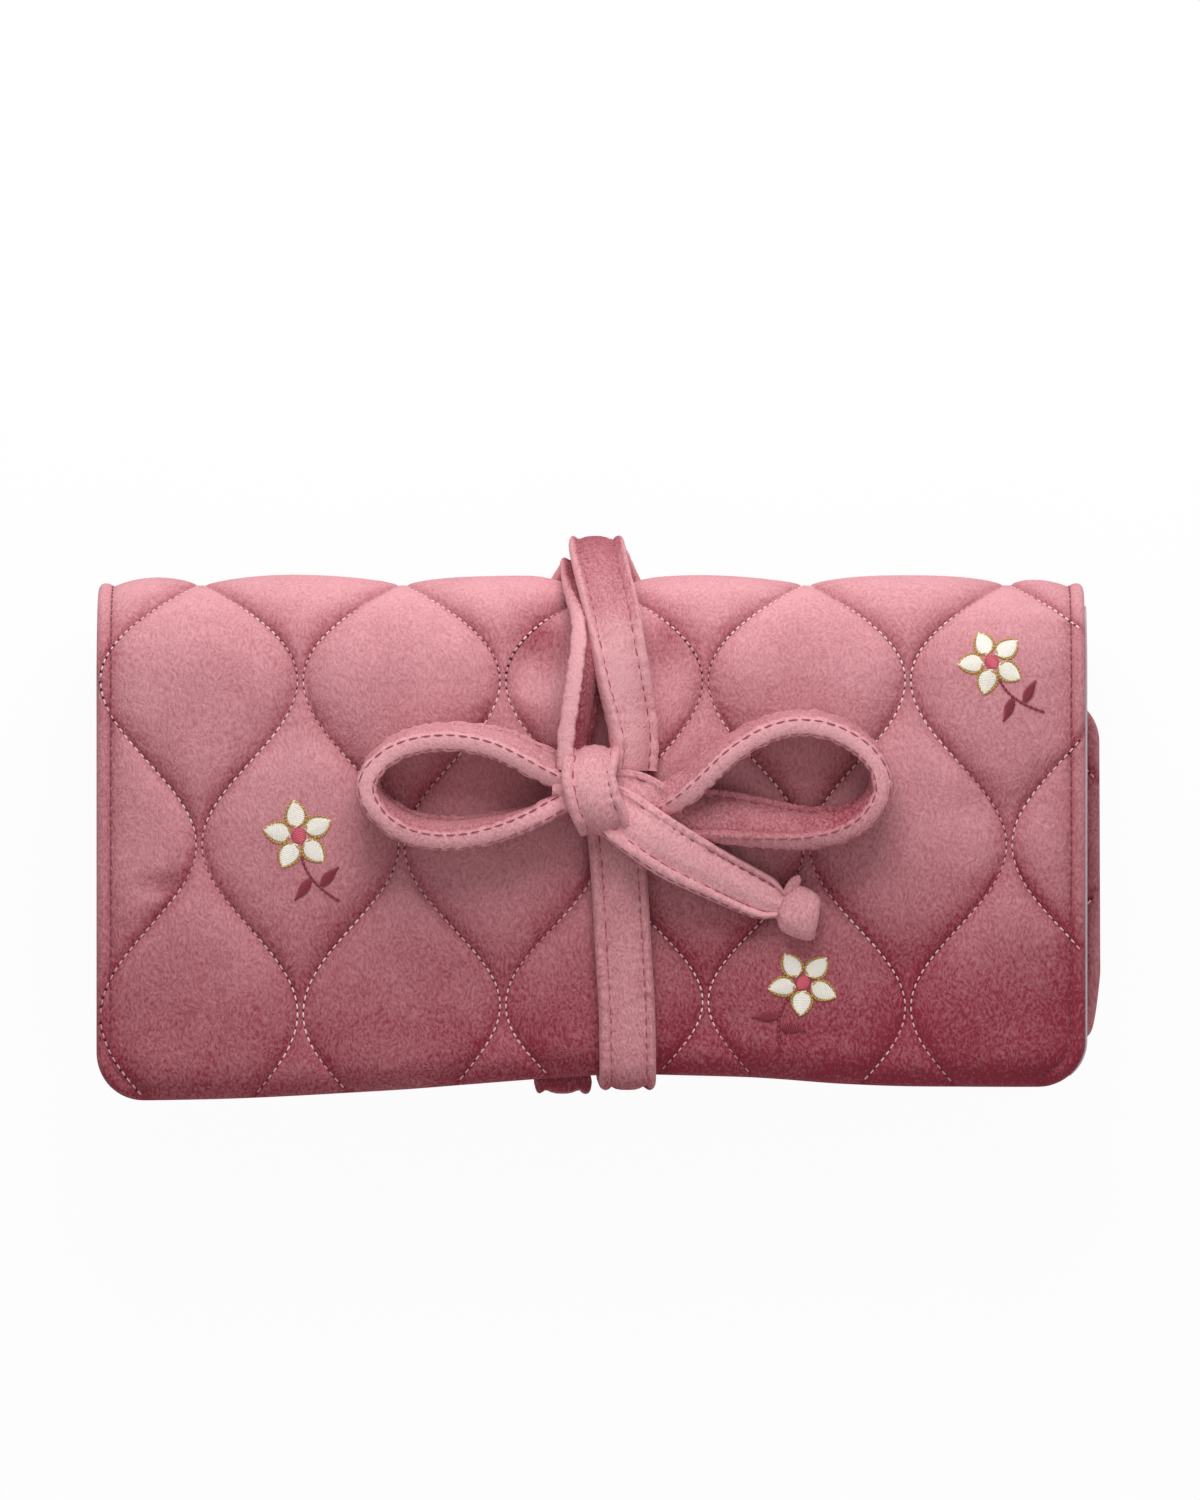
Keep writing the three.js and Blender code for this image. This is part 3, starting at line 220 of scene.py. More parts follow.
def puff_height(x, u):
    """Height of the velvet over the flat pattern, 0 at the crowns."""
    x, u = np.broadcast_arrays(np.asarray(x, float), np.asarray(u, float))
    lines = seam_x(u)
    rim = half_width(np.clip(u, HEM, U_END - HEM), HEM)[..., None]
    bounds = np.concatenate([-rim, np.clip(lines, -rim, rim), rim], -1)
    cell = np.clip((bounds <= x[..., None]).sum(-1) - 1, 0, bounds.shape[-1] - 2)[..., None]
    left = np.take_along_axis(bounds, cell, -1)[..., 0]
    right = np.take_along_axis(bounds, cell + 1, -1)[..., 0]
    width = np.maximum(right - left, 1e-3)
    f = np.clip((x - left) / width, 0, 1)
    inside = hem_distance(x, u) - HEM
    plain = np.power(np.maximum(4 * f * (1 - f), 0), 0.6) * (1 - np.exp(-width / 10))
    dome = plain * np.power(1 - np.exp(-np.maximum(inside, 0) / 3.5), 0.6)
    flat = ((u > FLAT_FROM) & (u < FLAT_TO)).astype(float)
    dome = np.where(flat > 0, np.minimum(1, dome / 0.78), dome)
    near = np.minimum(f, 1 - f) * width
    puff = -SEAM_DEPTH * (1 - dome) + puckers(x, u, near) * np.minimum(1, 2 * dome) * (1 - flat)
    t = np.clip((inside + HEM) / HEM, 0, 1)
    seam_near = np.abs(lines - x[..., None]).min(-1)
    margin = -SEAM_DEPTH + 0.75 * np.sqrt(np.maximum(4 * t * (1 - t), 0))
    margin = margin - 0.35 * np.exp(-((seam_near / 0.7) ** 2))
    h = np.where(inside >= 0, puff, margin)
    rolled = -SEAM_DEPTH * (1 - plain) - 1.4 * np.clip(1 - u / 5, 0, 1) ** 2
    h = h + (rolled - h) * np.clip((14 - u) / 7, 0, 1) * np.clip((HALF - 5 - np.abs(x)) / 7, 0, 1)
    borne = np.clip((u - (FLAT_FROM + 2)) / 9, 0, 1) * np.clip((FLAT_TO - 2 - u) / 9, 0, 1)
    crown = 0.6 - 0.6 * flat - 0.4 * borne
    return np.minimum(np.maximum(h - band_press(x, u), -PAD + 0.6), crown)


print("seams across the roll:", len(SEAM_NUMBERS))

# %% [markdown]
# ## Meshes from a grid
# Every cloth piece here starts as a flat grid from `create_grid`, whose squares are then carried
# to their places. A tube is a grid whose last column falls on its first: the doubles are merged
# and the open ends are filled.


# %% Grid helper
def new_object(name, data):
    """An object with this data, in the scene."""
    item = bpy.data.objects.new(name, data)
    bpy.context.collection.objects.link(item)
    return item


def grid_piece(name, columns, rows, shape, material, nap=None):
    """A mesh of columns by rows points.

    shape(i, j) gives their places in metres, and the last function, if given, the pile's painted light
    and shade there.
    """
    bm = bmesh.new()
    bmesh.ops.create_grid(bm, x_segments=columns - 1, y_segments=rows - 1, size=0.5)
    mesh = bpy.data.meshes.new(name)
    bm.to_mesh(mesh)
    bm.free()
    co = np.empty(len(mesh.vertices) * 3)
    mesh.vertices.foreach_get("co", co)
    co = co.reshape(-1, 3)
    i = np.rint((co[:, 0] + 0.5) * (columns - 1)).astype(int)
    j = np.rint((co[:, 1] + 0.5) * (rows - 1)).astype(int)
    mesh.vertices.foreach_set("co", np.ascontiguousarray(shape(i, j)).ravel())
    if nap:
        # Painted light and shade of the pile, which the velvet mixes into its colour
        brushed_and_shade = mesh.attributes.new("nap", "FLOAT", "POINT")
        brushed_and_shade.data.foreach_set("value", np.ascontiguousarray(nap(i, j), dtype=np.float32))
    bm = bmesh.new()
    bm.from_mesh(mesh)
    bmesh.ops.remove_doubles(bm, verts=bm.verts, dist=2e-6)
    bmesh.ops.dissolve_degenerate(bm, edges=bm.edges, dist=1e-7)
    caps = bmesh.ops.holes_fill(bm, edges=bm.edges, sides=0)["faces"]
    bmesh.ops.recalc_face_normals(bm, faces=bm.faces)
    for face in bm.faces:
        face.smooth = True
    for face in caps:
        face.smooth = False
        for edge in face.edges:
            edge.smooth = False
    bm.to_mesh(mesh)
    bm.free()
    mesh.materials.append(material)
    print("%s: %d faces" % (name, len(mesh.polygons)))
    return new_object(name, mesh)


# %% [markdown]
# ## Finishes
# Colours are written as sRGB hex values and turned to linear by one function. One small function
# adds a node. Pattern scales are worked out from sizes in millimetres.


# %% Colour and node helpers
def colour(code):
    """Linear colour with alpha from an sRGB hex value."""
    parts = [int(code[k:k + 2], 16) / 255 for k in (1, 3, 5)]
    return [c / 12.92 if c < 0.04045 else ((c + 0.055) / 1.055) ** 2.4 for c in parts] + [1.0]


def add(tree, kind, sockets=None, **settings):
    """A node with its settings; each socket gets a value or a link."""
    node = tree.nodes.new(kind)
    for key, value in settings.items():
        setattr(node, key, value)
    for key, value in (sockets or {}).items():
        if isinstance(value, bpy.types.NodeSocket):
            tree.links.new(value, node.inputs[key])
        else:
            node.inputs[key].default_value = value
    return node


def new_material(name):
    """An empty material with its output node."""
    material = bpy.data.materials.new(name)
    material.use_nodes = True
    material.node_tree.nodes.clear()
    return material, material.node_tree, add(material.node_tree, "ShaderNodeOutputMaterial")


def per_mm(size):
    """Texture scale of a pattern whose features are size millimetres wide."""
    return 1 / (size * MM)


# %% [markdown]
# Velvet is a cut pile on a woven ground. Its colour runs from a deep to a pale rose by an attribute
# that holds painted light and shade: paler where the lamp falls and on upper slopes, deeper in
# valleys, on faces turned from the light and in shade beside the bands. Slow noise adds brushed
# patches, and streaks a little coarser than the real tufts, so that they show, give the fine grain.


# %% Velvet
def pile_velvet(name, deep, pale, brush_mm, tuft_mm, rough):
    """Velvet from a deep to a pale colour, with brushed patches and tufts of these sizes."""
    material, tree, out = new_material(name)
    coords = add(tree, "ShaderNodeTexCoord").outputs["Object"]
    # This attribute holds painted light and shade
    nap = add(tree, "ShaderNodeAttribute", attribute_name="nap").outputs["Fac"]
    brushed_and_shade = add(tree, "ShaderNodeTexNoise", {
        "Vector": coords, "Scale": per_mm(brush_mm), "Detail": 3.0, "Roughness": 0.55,
        "Distortion": 1.0})
    swirl = add(tree, "ShaderNodeTexNoise", {"Vector": coords, "Scale": per_mm(7), "Detail": 1.0})
    bent = add(tree, "ShaderNodeVectorMath", {
        0: swirl.outputs["Color"], 1: (0.004, 0.004, 0.004), 2: coords}, operation="MULTIPLY_ADD")
    lean = add(tree, "ShaderNodeMapping", {
        "Vector": bent.outputs["Vector"], "Rotation": (0, 0, 0.35), "Scale": (1, 0.6, 0.8)})
    tufts = add(tree, "ShaderNodeTexNoise", {
        "Vector": lean.outputs["Vector"], "Scale": per_mm(tuft_mm), "Detail": 2.0, "Roughness": 0.65})
    patches = add(tree, "ShaderNodeMapRange", {
        "Value": brushed_and_shade.outputs["Fac"], "From Min": 0.3, "From Max": 0.7,
        "To Min": -0.06, "To Max": 0.06})
    grain = add(tree, "ShaderNodeMapRange", {
        "Value": tufts.outputs["Fac"], "From Min": 0.28, "From Max": 0.72,
        "To Min": -rough, "To Max": rough})
    # Painted light and shade, plus brushed patches and grain, mix the deep and the pale colour
    painted_light_and_tone = add(tree, "ShaderNodeMath", {0: nap, 1: patches.outputs["Result"]}, operation="ADD")
    painted_light_and_tone = add(tree, "ShaderNodeMath", {
        0: painted_light_and_tone.outputs["Value"], 1: grain.outputs["Result"]}, operation="ADD")
    pile_and_shade = add(tree, "ShaderNodeMix", {
        "Factor": painted_light_and_tone.outputs["Value"], "A": colour(deep), "B": colour(pale)}, data_type="RGBA")
    bump = add(tree, "ShaderNodeBump", {
        "Height": tufts.outputs["Fac"], "Strength": 0.6, "Distance": 0.0005})
    shader = add(tree, "ShaderNodeBsdfPrincipled", {
        "Base Color": pile_and_shade.outputs["Result"], "Roughness": 0.95, "Specular IOR Level": 0.1,
        "Sheen Weight": 0.3, "Sheen Roughness": 0.45, "Sheen Tint": colour("#EFB4BA"),
        "Normal": bump.outputs["Normal"]})
    tree.links.new(shader.outputs["BSDF"], out.inputs["Surface"])
    return material


velvet = pile_velvet("rose_quilted_velvet", "#892D3D", "#DC9DA4", 17, 0.55, 0.22)
strap_velvet = pile_velvet("rose_strap_velvet", "#8F3846", "#E2A5AB", 9, 0.5, 0.26)
print("velvets:", velvet.name, strap_velvet.name)

# %% [markdown]
# The quilting thread is a twisted polyester, with painted light along it: pale where it would
# catch the light and rose where it would not. Dark beads painted as shadow sit in the needle holes
# between the stitches. The hem is sewn in deep rose and the strap in a lighter one.


# %% Threads
def sewing_thread(name, shade, roughness, sheen, shaded_colour=None):
    """Twisted thread of one colour, or of two that change slowly along it as painted light."""
    material, tree, out = new_material(name)
    coords = add(tree, "ShaderNodeTexCoord").outputs["Object"]
    twist = add(tree, "ShaderNodeTexNoise", {"Vector": coords, "Scale": per_mm(0.3), "Detail": 1.0})
    tone = add(tree, "ShaderNodeMapRange", {
        "Value": twist.outputs["Fac"], "To Min": 0.8, "To Max": 1.12})
    slow = add(tree, "ShaderNodeTexNoise", {"Vector": coords, "Scale": per_mm(24), "Detail": 2.0})
    # Painted light: a slow change from the thread's colour to its shaded colour
    painted_light_term = add(tree, "ShaderNodeMapRange", {
        "Value": slow.outputs["Fac"], "From Min": 0.42, "From Max": 0.6})
    plain = add(tree, "ShaderNodeMix", {
        "Factor": painted_light_term.outputs["Result"], "A": colour(shade), "B": colour(shaded_colour or shade)},
        data_type="RGBA")
    mixed = add(tree, "ShaderNodeMix", {
        "Factor": 1.0, "A": plain.outputs["Result"], "B": tone.outputs["Result"]},
        data_type="RGBA", blend_type="MULTIPLY")
    bump = add(tree, "ShaderNodeBump", {
        "Height": twist.outputs["Fac"], "Strength": 0.3, "Distance": 0.0001})
    shader = add(tree, "ShaderNodeBsdfPrincipled", {
        "Base Color": mixed.outputs["Result"], "Roughness": roughness, "Sheen Weight": sheen,
        "Normal": bump.outputs["Normal"]})
    tree.links.new(shader.outputs["BSDF"], out.inputs["Surface"])
    return material


# The rose second colour is painted shade on the pale thread
quilting_thread = sewing_thread("pale_quilting_thread", "#F0D2CF", 0.5, 0.2, "#C98A90")
hem_thread = sewing_thread("deep_rose_hem_thread", "#7C3542", 0.6, 0.2)
strap_thread = sewing_thread("rose_strap_thread", "#9A4856", 0.7, 0.3)
# Dark beads painted as the shadow in the needle holes
needle_hole_shadow = sewing_thread("shadowed_needle_hole", "#4A1822", 0.9, 0.0)

# %% [markdown]
# The lining is a satin weave of pale lilac: long floats of thread run across the roll, so it shines
# in streaks along them, and pale streaks in its colour are partly the weave's tone and partly painted
# sheen, while slow patches are painted shade of soft creases. Zip tape is a narrow twill with fine
# slanting ribs. Sliders, stops and snaps are polished brass-plated zinc with faint rub marks.

# %% Satin lining
satin_lining, tree, out = new_material("lilac_satin_lining")
coords = add(tree, "ShaderNodeTexCoord").outputs["Object"]
floats = add(tree, "ShaderNodeMapping", {"Vector": coords, "Scale": (0.07, 1, 1)})
# Streaks along the floats: the weave's tone and painted sheen
threads = add(tree, "ShaderNodeTexNoise", {
    "Vector": floats.outputs["Vector"], "Scale": per_mm(0.4), "Detail": 2.0, "Roughness": 0.6})
# Painted shade of soft creases
crease_shade = add(tree, "ShaderNodeTexNoise", {"Vector": coords, "Scale": per_mm(22), "Detail": 2.0})
tone = add(tree, "ShaderNodeMath", {
    0: threads.outputs["Fac"], 1: 0.6, 2: crease_shade.outputs["Fac"]}, operation="MULTIPLY_ADD")
tone = add(tree, "ShaderNodeMapRange", {
    "Value": tone.outputs["Value"], "From Min": 0.5, "From Max": 1.1})
silk = add(tree, "ShaderNodeMix", {
    "Factor": tone.outputs["Result"], "A": colour("#CFBDC8"), "B": colour("#E8DCE4")}, data_type="RGBA")
bump = add(tree, "ShaderNodeBump", {
    "Height": threads.outputs["Fac"], "Strength": 0.2, "Distance": 0.0001})
shader = add(tree, "ShaderNodeBsdfPrincipled", {
    "Base Color": silk.outputs["Result"], "Roughness": 0.42, "Specular IOR Level": 0.5,
    "Anisotropic": 0.4, "Sheen Weight": 0.15, "Normal": bump.outputs["Normal"]})
tree.links.new(shader.outputs["BSDF"], out.inputs["Surface"])

# %% Zip tape
zip_tape, tree, out = new_material("rose_twill_zip_tape")
coords = add(tree, "ShaderNodeTexCoord").outputs["Object"]
slant = add(tree, "ShaderNodeMapping", {"Vector": coords, "Rotation": (0, 0, 0.9)})
ribs = add(tree, "ShaderNodeTexWave", {
    "Vector": slant.outputs["Vector"], "Scale": 0.314 * per_mm(0.55), "Distortion": 0.4, "Detail": 1.0})
twill = add(tree, "ShaderNodeMix", {
    "Factor": ribs.outputs["Fac"], "A": colour("#9C6670"), "B": colour("#BE8F97")}, data_type="RGBA")
bump = add(tree, "ShaderNodeBump", {
    "Height": ribs.outputs["Fac"], "Strength": 0.4, "Distance": 0.0002})
shader = add(tree, "ShaderNodeBsdfPrincipled", {
    "Base Color": twill.outputs["Result"], "Roughness": 0.75, "Sheen Weight": 0.2,
    "Normal": bump.outputs["Normal"]})
tree.links.new(shader.outputs["BSDF"], out.inputs["Surface"])

# %% Brass
brass, tree, out = new_material("plated_brass")
coords = add(tree, "ShaderNodeTexCoord").outputs["Object"]
rubbed = add(tree, "ShaderNodeMapping", {"Vector": coords, "Scale": (0.15, 1, 1)})
marks = add(tree, "ShaderNodeTexNoise", {
    "Vector": rubbed.outputs["Vector"], "Scale": per_mm(0.3), "Detail": 3.0})
gloss = add(tree, "ShaderNodeMapRange", {
    "Value": marks.outputs["Fac"], "To Min": 0.16, "To Max": 0.38})
warm = add(tree, "ShaderNodeMix", {
    "Factor": marks.outputs["Fac"], "A": colour("#C79B4E"), "B": colour("#E6C989")}, data_type="RGBA")
shader = add(tree, "ShaderNodeBsdfPrincipled", {
    "Base Color": warm.outputs["Result"], "Metallic": 1.0, "Roughness": gloss.outputs["Result"]})
tree.links.new(shader.outputs["BSDF"], out.inputs["Surface"])
print("finishes:", satin_lining.name, zip_tape.name, brass.name)

# %% [markdown]
# ## Stitches
# Each stitch is a short raised length of thread between two needle holes. One small sphere from
# `create_uvsphere` is the pattern piece, and it is copied, stretched and turned for each stitch.


# %% Stitch helper
def thread_piece(name, stitches, material, segments=6, rings=4):
    """Stitches as rows of two ends, a direction out of the cloth, a width and a height (metres)."""
    bm = bmesh.new()
    bmesh.ops.create_uvsphere(bm, u_segments=segments, v_segments=rings, radius=0.5)
    bead = np.array([v.co for v in bm.verts])
    faces = [[v.index for v in f.verts] for f in bm.faces]
    bm.free()
    a, b, up = (np.array([row[k] for row in stitches], float) for k in range(3))
    wide, tall = (np.array([row[k] for row in stitches], float)[:, None] for k in (3, 4))
    way = b - a
    side = np.cross(way, up)
    side /= np.linalg.norm(side, axis=1)[:, None]
    up = np.cross(side, way)
    up /= np.linalg.norm(up, axis=1)[:, None]
    points = ((a + b)[:, None] / 2 + bead[None, :, :1] * (side * wide)[:, None]
              + bead[None, :, 1:2] * (up * tall)[:, None] + bead[None, :, 2:] * (way * 1.08)[:, None])
    starts = np.arange(len(stitches)) * len(bead)
    mesh = bpy.data.meshes.new(name)
    mesh.from_pydata(points.reshape(-1, 3), [], [[i + k for i in f] for k in starts for f in faces])
    mesh.shade_smooth()
    mesh.materials.append(material)
    print("%s: %d stitches" % (name, len(stitches)))
    return new_object(name, mesh)


# %% [markdown]
# ## Camera, light and floor
# The roll lies on its back and is seen from straight above through a long lens. One soft lamp
# stands beyond the top fold, so that puffs are pale above and deep below, and a dim sky fills in.

# %% Camera
PX_PER_MM = 4.714
VIEW_WIDE, VIEW_HIGH = 1200, 1500        # the picture's own pixels
MIDDLE_X, MIDDLE_Y = 591, 831            # where the drawing's origin falls in it
CAMERA_HEIGHT, SENSOR = 4.0, 36
camera_data = bpy.data.cameras.new("camera")
camera = new_object("camera", camera_data)
view_high = VIEW_HIGH / PX_PER_MM * MM
camera_data.sensor_width = SENSOR
camera_data.lens = SENSOR * CAMERA_HEIGHT / view_high
camera_x = ((VIEW_WIDE / 2 - MIDDLE_X) / PX_PER_MM + SHIFT.x) * MM
camera_y = ((MIDDLE_Y - VIEW_HIGH / 2) / PX_PER_MM + SHIFT.y) * MM
camera.location = (camera_x, camera_y, CAMERA_HEIGHT + FLAP_TOP * MM)
camera_data.clip_end = 100
bpy.context.scene.camera = camera
bpy.context.scene.view_settings.view_transform = "Standard"
print("lens %.0f mm" % camera_data.lens)


# %% Lamps
LAMP_TARGET = (0, 0, 0.03)


def soft_lamp(name, place, size, watts):
    """A square lamp that looks at the middle of the roll."""
    lamp = bpy.data.lights.new(name, "AREA")
    lamp.size = size
    lamp.energy = watts
    item = new_object(name, lamp)
    item.location = place
    item.rotation_euler = (Vector(LAMP_TARGET) - Vector(place)).to_track_quat("-Z", "Y").to_euler()


soft_lamp("key_lamp", place=(0.0, 0.38, 0.32), size=0.34, watts=1.95)
soft_lamp("fill_lamp", place=(0.25, -0.5, 0.9), size=0.8, watts=1.4)

# %% Sky
world = bpy.data.worlds.new("studio")
bpy.context.scene.world = world
world.use_nodes = True
sky = world.node_tree
sky.nodes.clear()
ray = add(sky, "ShaderNodeLightPath").outputs["Is Camera Ray"]
strength = add(sky, "ShaderNodeMapRange", {"Value": ray, "To Min": 0.43, "To Max": 1.0})
backdrop = add(sky, "ShaderNodeBackground", {
    "Color": (1, 1, 1, 1), "Strength": strength.outputs["Result"]})
add(sky, "ShaderNodeOutputWorld", {"Surface": backdrop.outputs["Background"]})

# %% Floor
floor_paint, tree, out = new_material("white_studio_floor")
path = add(tree, "ShaderNodeLightPath")
seen = add(tree, "ShaderNodeMath", {
    0: path.outputs["Is Camera Ray"], 1: path.outputs["Is Glossy Ray"]}, operation="MAXIMUM")
seen = add(tree, "ShaderNodeMath", {
    0: seen.outputs["Value"], 1: path.outputs["Is Transmission Ray"]}, operation="MAXIMUM")
share = add(tree, "ShaderNodeMath", {0: seen.outputs["Value"], 1: 0.95}, operation="MULTIPLY")
paint = add(tree, "ShaderNodeBsdfDiffuse", {"Color": colour("#F4F3F2")})
glow = add(tree, "ShaderNodeEmission", {"Color": (1, 1, 1, 1), "Strength": 1.0})
mixed = add(tree, "ShaderNodeMixShader", {
    0: share.outputs["Value"], 1: paint.outputs["BSDF"], 2: glow.outputs["Emission"]})
tree.links.new(mixed.outputs["Shader"], out.inputs["Surface"])

bm = bmesh.new()
bmesh.ops.create_grid(bm, x_segments=1, y_segments=1, size=3.0)
floor_mesh = bpy.data.meshes.new("floor")
bm.to_mesh(floor_mesh)
bm.free()
floor_mesh.materials.append(floor_paint)
new_object("floor", floor_mesh)

# %% [markdown]
# ## The strap
# The tie is a flat tube of velvet with wadding in it. It is closed by a stitched rim along one edge
# and sewn through again near the other, so that a broad pillow lies between a rim and a ridge. It
# is swept along a path; at each station a direction says where its face looks.


# %% Section of the strap
STRAP_WIDTH, STRAP_THICK = 12.0, 4.2
RIM, RIDGE = 1.9, 2.5                    # widths of the stitched rim and of the ridge
# Rim, pillow and ridge: points across, height and roundness
STRAP_PARTS = [(6, 0.94, 2), (10, 1.0, 2.7), (6, 0.96, 2.2)]


def pillow(f, power):
    """Height of a stuffed tube at a share f of its width."""
    return np.sqrt(np.maximum(1 - np.abs(2 * f - 1) ** power, 0))


def strap_section():
    """Outline of the strap as shares of its width and thickness, once round from its rim."""
    parts = []
    seams = np.array([0, RIM, STRAP_WIDTH - RIDGE, STRAP_WIDTH]) / STRAP_WIDTH
    for low, high, (steps, tall, power) in zip(seams[:-1], seams[1:], STRAP_PARTS):
        f = 0.5 - 0.5 * np.cos(math.pi * np.arange(steps) / steps)
        parts.append(np.stack([low + f * (high - low), tall * pillow(f, power)], -1))
    b, h = np.vstack(parts + [[(1, 0)]]).T
    groove = (0.62 * np.exp(-(((b - seams[1]) / 0.04) ** 2))
              + 0.56 * np.exp(-(((b - seams[2]) / 0.05) ** 2)))
    h = np.sqrt(h ** 2 + groove ** 2)
    h[0] = h[-1] = 0
    upper = np.stack([b - 0.5, h / 2], -1)
    lower = np.stack([b - 0.5, -h / 2], -1)[::-1]
    return np.concatenate([upper, lower[1:]])


SECTION = strap_section()
print("points round the strap:", len(SECTION))


# %% Stations along a path
def smooth_path(rows, step):
    """Rows of numbers joined by one smooth curve, at even steps along its first three."""
    rows = np.asarray(rows, float)
    ends = np.vstack([2 * rows[0] - rows[1], rows, 2 * rows[-1] - rows[-2]])
    fine = []
    for k in range(len(rows) - 1):
        p0, p1, p2, p3 = ends[k:k + 4]
        t = np.linspace(0, 1, 24, endpoint=False)[:, None]
        fine.append(p1 + 0.5 * t * (p2 - p0 + t * (2 * p0 - 5 * p1 + 4 * p2 - p3
                                                   + t * (3 * (p1 - p2) + p3 - p0))))
    fine = np.vstack(fine + [rows[-1:]])
    run = np.concatenate([[0], np.cumsum(np.linalg.norm(np.diff(fine[:, :3], axis=0), axis=1))])
    even = np.linspace(0, run[-1], max(3, int(round(run[-1] / step)) + 1))
    return np.stack([np.interp(even, run, fine[:, c]) for c in range(rows.shape[1])], -1)


def strap_stations(path, faces, thick=STRAP_THICK, width=STRAP_WIDTH, crease=0.0, flip=False):
    """Centre, directions, sizes and run of each station of a strap, as one table of columns."""
    along = np.gradient(path, axis=0)
    along /= np.linalg.norm(along, axis=1)[:, None]
    across = np.cross(along, faces)
    across /= np.linalg.norm(across, axis=1)[:, None]
    up = np.cross(across, along)
    run = np.concatenate([[0], np.cumsum(np.linalg.norm(np.diff(path, axis=0), axis=1))])
    across = -across if flip else across
    table = {"path": path, "across": across, "up": up, "along": along, "run": run}
    for key, value in (("thick", thick), ("width", width), ("crease", crease)):
        table[key] = np.broadcast_to(value, len(path)).astype(float)
    return table


def part_of(stations, first, last):
    """The stations from first to last, both kept."""
    return {key: column[first:last + 1] for key, column in stations.items()}


# %% Sweeping the strap
GATHER = 0.17                            # height of the ripples at the sewn edges


def strap_piece(name, st, painted_light_and_tone=0.0, pile_and_shade=0.0, shade=(0.2, 0.2)):
    """The strap swept through its stations, in millimetres of the frame.

    Its pile colour is painted light and shade: one offset makes all of it paler, another its lengths
    that run to the right, and shade paints deeper the faces that look sideways and up the roll.
    """

    def shape(i, j):
        b, h = SECTION[i].T
        run = st["run"][j]
        rims = np.clip((np.abs(b) - 0.12) / 0.2, 0, 1)
        ripple = GATHER * rims * np.sin(2.1 * run + 3 * np.sin(0.37 * run) + 5 * b) * np.sign(h)
        folds = np.sin(38 * b + 0.12 * run + 1.2 * np.sin(0.23 * run))
        crease = st["crease"][j] * folds * np.sign(h)
        wide = b * st["width"][j]
        tall = h * st["thick"][j] + (ripple + crease) * (np.abs(h) > 0.14)
        return (st["path"][j] + st["across"][j] * wide[:, None] + st["up"][j] * tall[:, None]) * MM

    def nap(i, j):
        b, h = SECTION[i].T
        # The rims are painted paler, as a highlight
        e = np.clip((np.abs(b) - 0.4) / 0.1, 0, 1)
        face = st["up"][j] * (np.sign(h) * (1 - e))[:, None]
        face = face + st["across"][j] * (np.sign(b) * e)[:, None]
        # Painted light: paler higher up the roll
        low = np.clip((st["path"][j][:, 1] + 20) / 50, -1, 1)
        broad = shade[0] * np.abs(face[:, 0]) + shade[1] * np.maximum(face[:, 1], 0)
        # Painted shade on faces turned from the lamp, and painted light on faces that look up
        shaded = (broad + 0.3 * np.maximum(-face[:, 1], 0)) * (1 - e)
        painted_light_term = 0.12 * np.maximum(face[:, 2], 0) - shaded
        brushed_and_shade = pile_and_shade * st["along"][j][:, 0]
        return np.clip(0.56 + painted_light_and_tone + painted_light_term + 0.12 * low + 0.16 * e + brushed_and_shade, 0, 1)

    return grid_piece(name, len(SECTION), len(st["path"]), shape, strap_velvet, nap)


# %% Stitches on the strap
# Lines of stitches as shares of the strap's width and thickness, and the size of one stitch
GROOVES = [(RIM / STRAP_WIDTH - 0.5, 0.31), (0.5 - RIDGE / STRAP_WIDTH, 0.28)]
EDGE_SEAM = (0.474, 0.325)
STRAP_STITCH = (0.55 * MM, 0.4 * MM)


def groove_stitches(st, lines, pitch=2.6, share=0.72):
    """Stitches on both faces along lines at a share of the strap's width and thickness."""
    rows = []
    start, stop = st["run"][0], st["run"][-1]
    for place, deep in lines:
        for k in range(int((stop - start) / pitch)):
            ends = start + (k + 0.5 + np.array([-share, share]) / 2) * pitch
            at = {key: np.stack([np.interp(ends, st["run"], column[:, c]) for c in range(3)], -1)
                  for key, column in st.items() if column.ndim == 2}
            wide = np.interp(ends, st["run"], st["width"])[:, None] * place
            tall = np.interp(ends, st["run"], st["thick"])[:, None] * deep
            for side in (1, -1):
                points = at["path"] + at["across"] * wide + at["up"] * (side * (tall + 0.02))
                rows.append((points[0] * MM, points[1] * MM, at["up"][0] * side) + STRAP_STITCH)
    return rows


def at_frame(points):
    """Millimetres of the part's own drawing, moved to the frame."""
    return np.asarray(points, float) + np.array(SHIFT)


# %% [markdown]
# ## The bow
# Two loops and a tail leave the knot. These are free lengths of strap, so each is one smooth path
# through chosen points, standing on edge where the real one does.

# %% Routes of the loops and the tail
KNOT = np.array([0.0, 9.5, FLAP_TOP])
LOOP_THICK = 4.7                         # the loops are plumper than the wound bands


def leaning(rows):
    """Rows of a place, lean in degrees, width and crease become rows with a face direction."""
    rows = np.array(rows, float)
    way = np.gradient(rows[:, :2], axis=0)
    way /= np.linalg.norm(way, axis=1)[:, None]
    turn = np.sign(np.sum(way[:-1, 0] * way[1:, 1] - way[:-1, 1] * way[1:, 0]))
    outward = np.stack([way[:, 1], -way[:, 0]], -1) * turn
    lean = np.radians(rows[:, 3:4])
    faces = np.hstack([outward * np.cos(lean), np.sin(lean)])
    return np.hstack([rows[:, :3], faces, rows[:, 4:]])


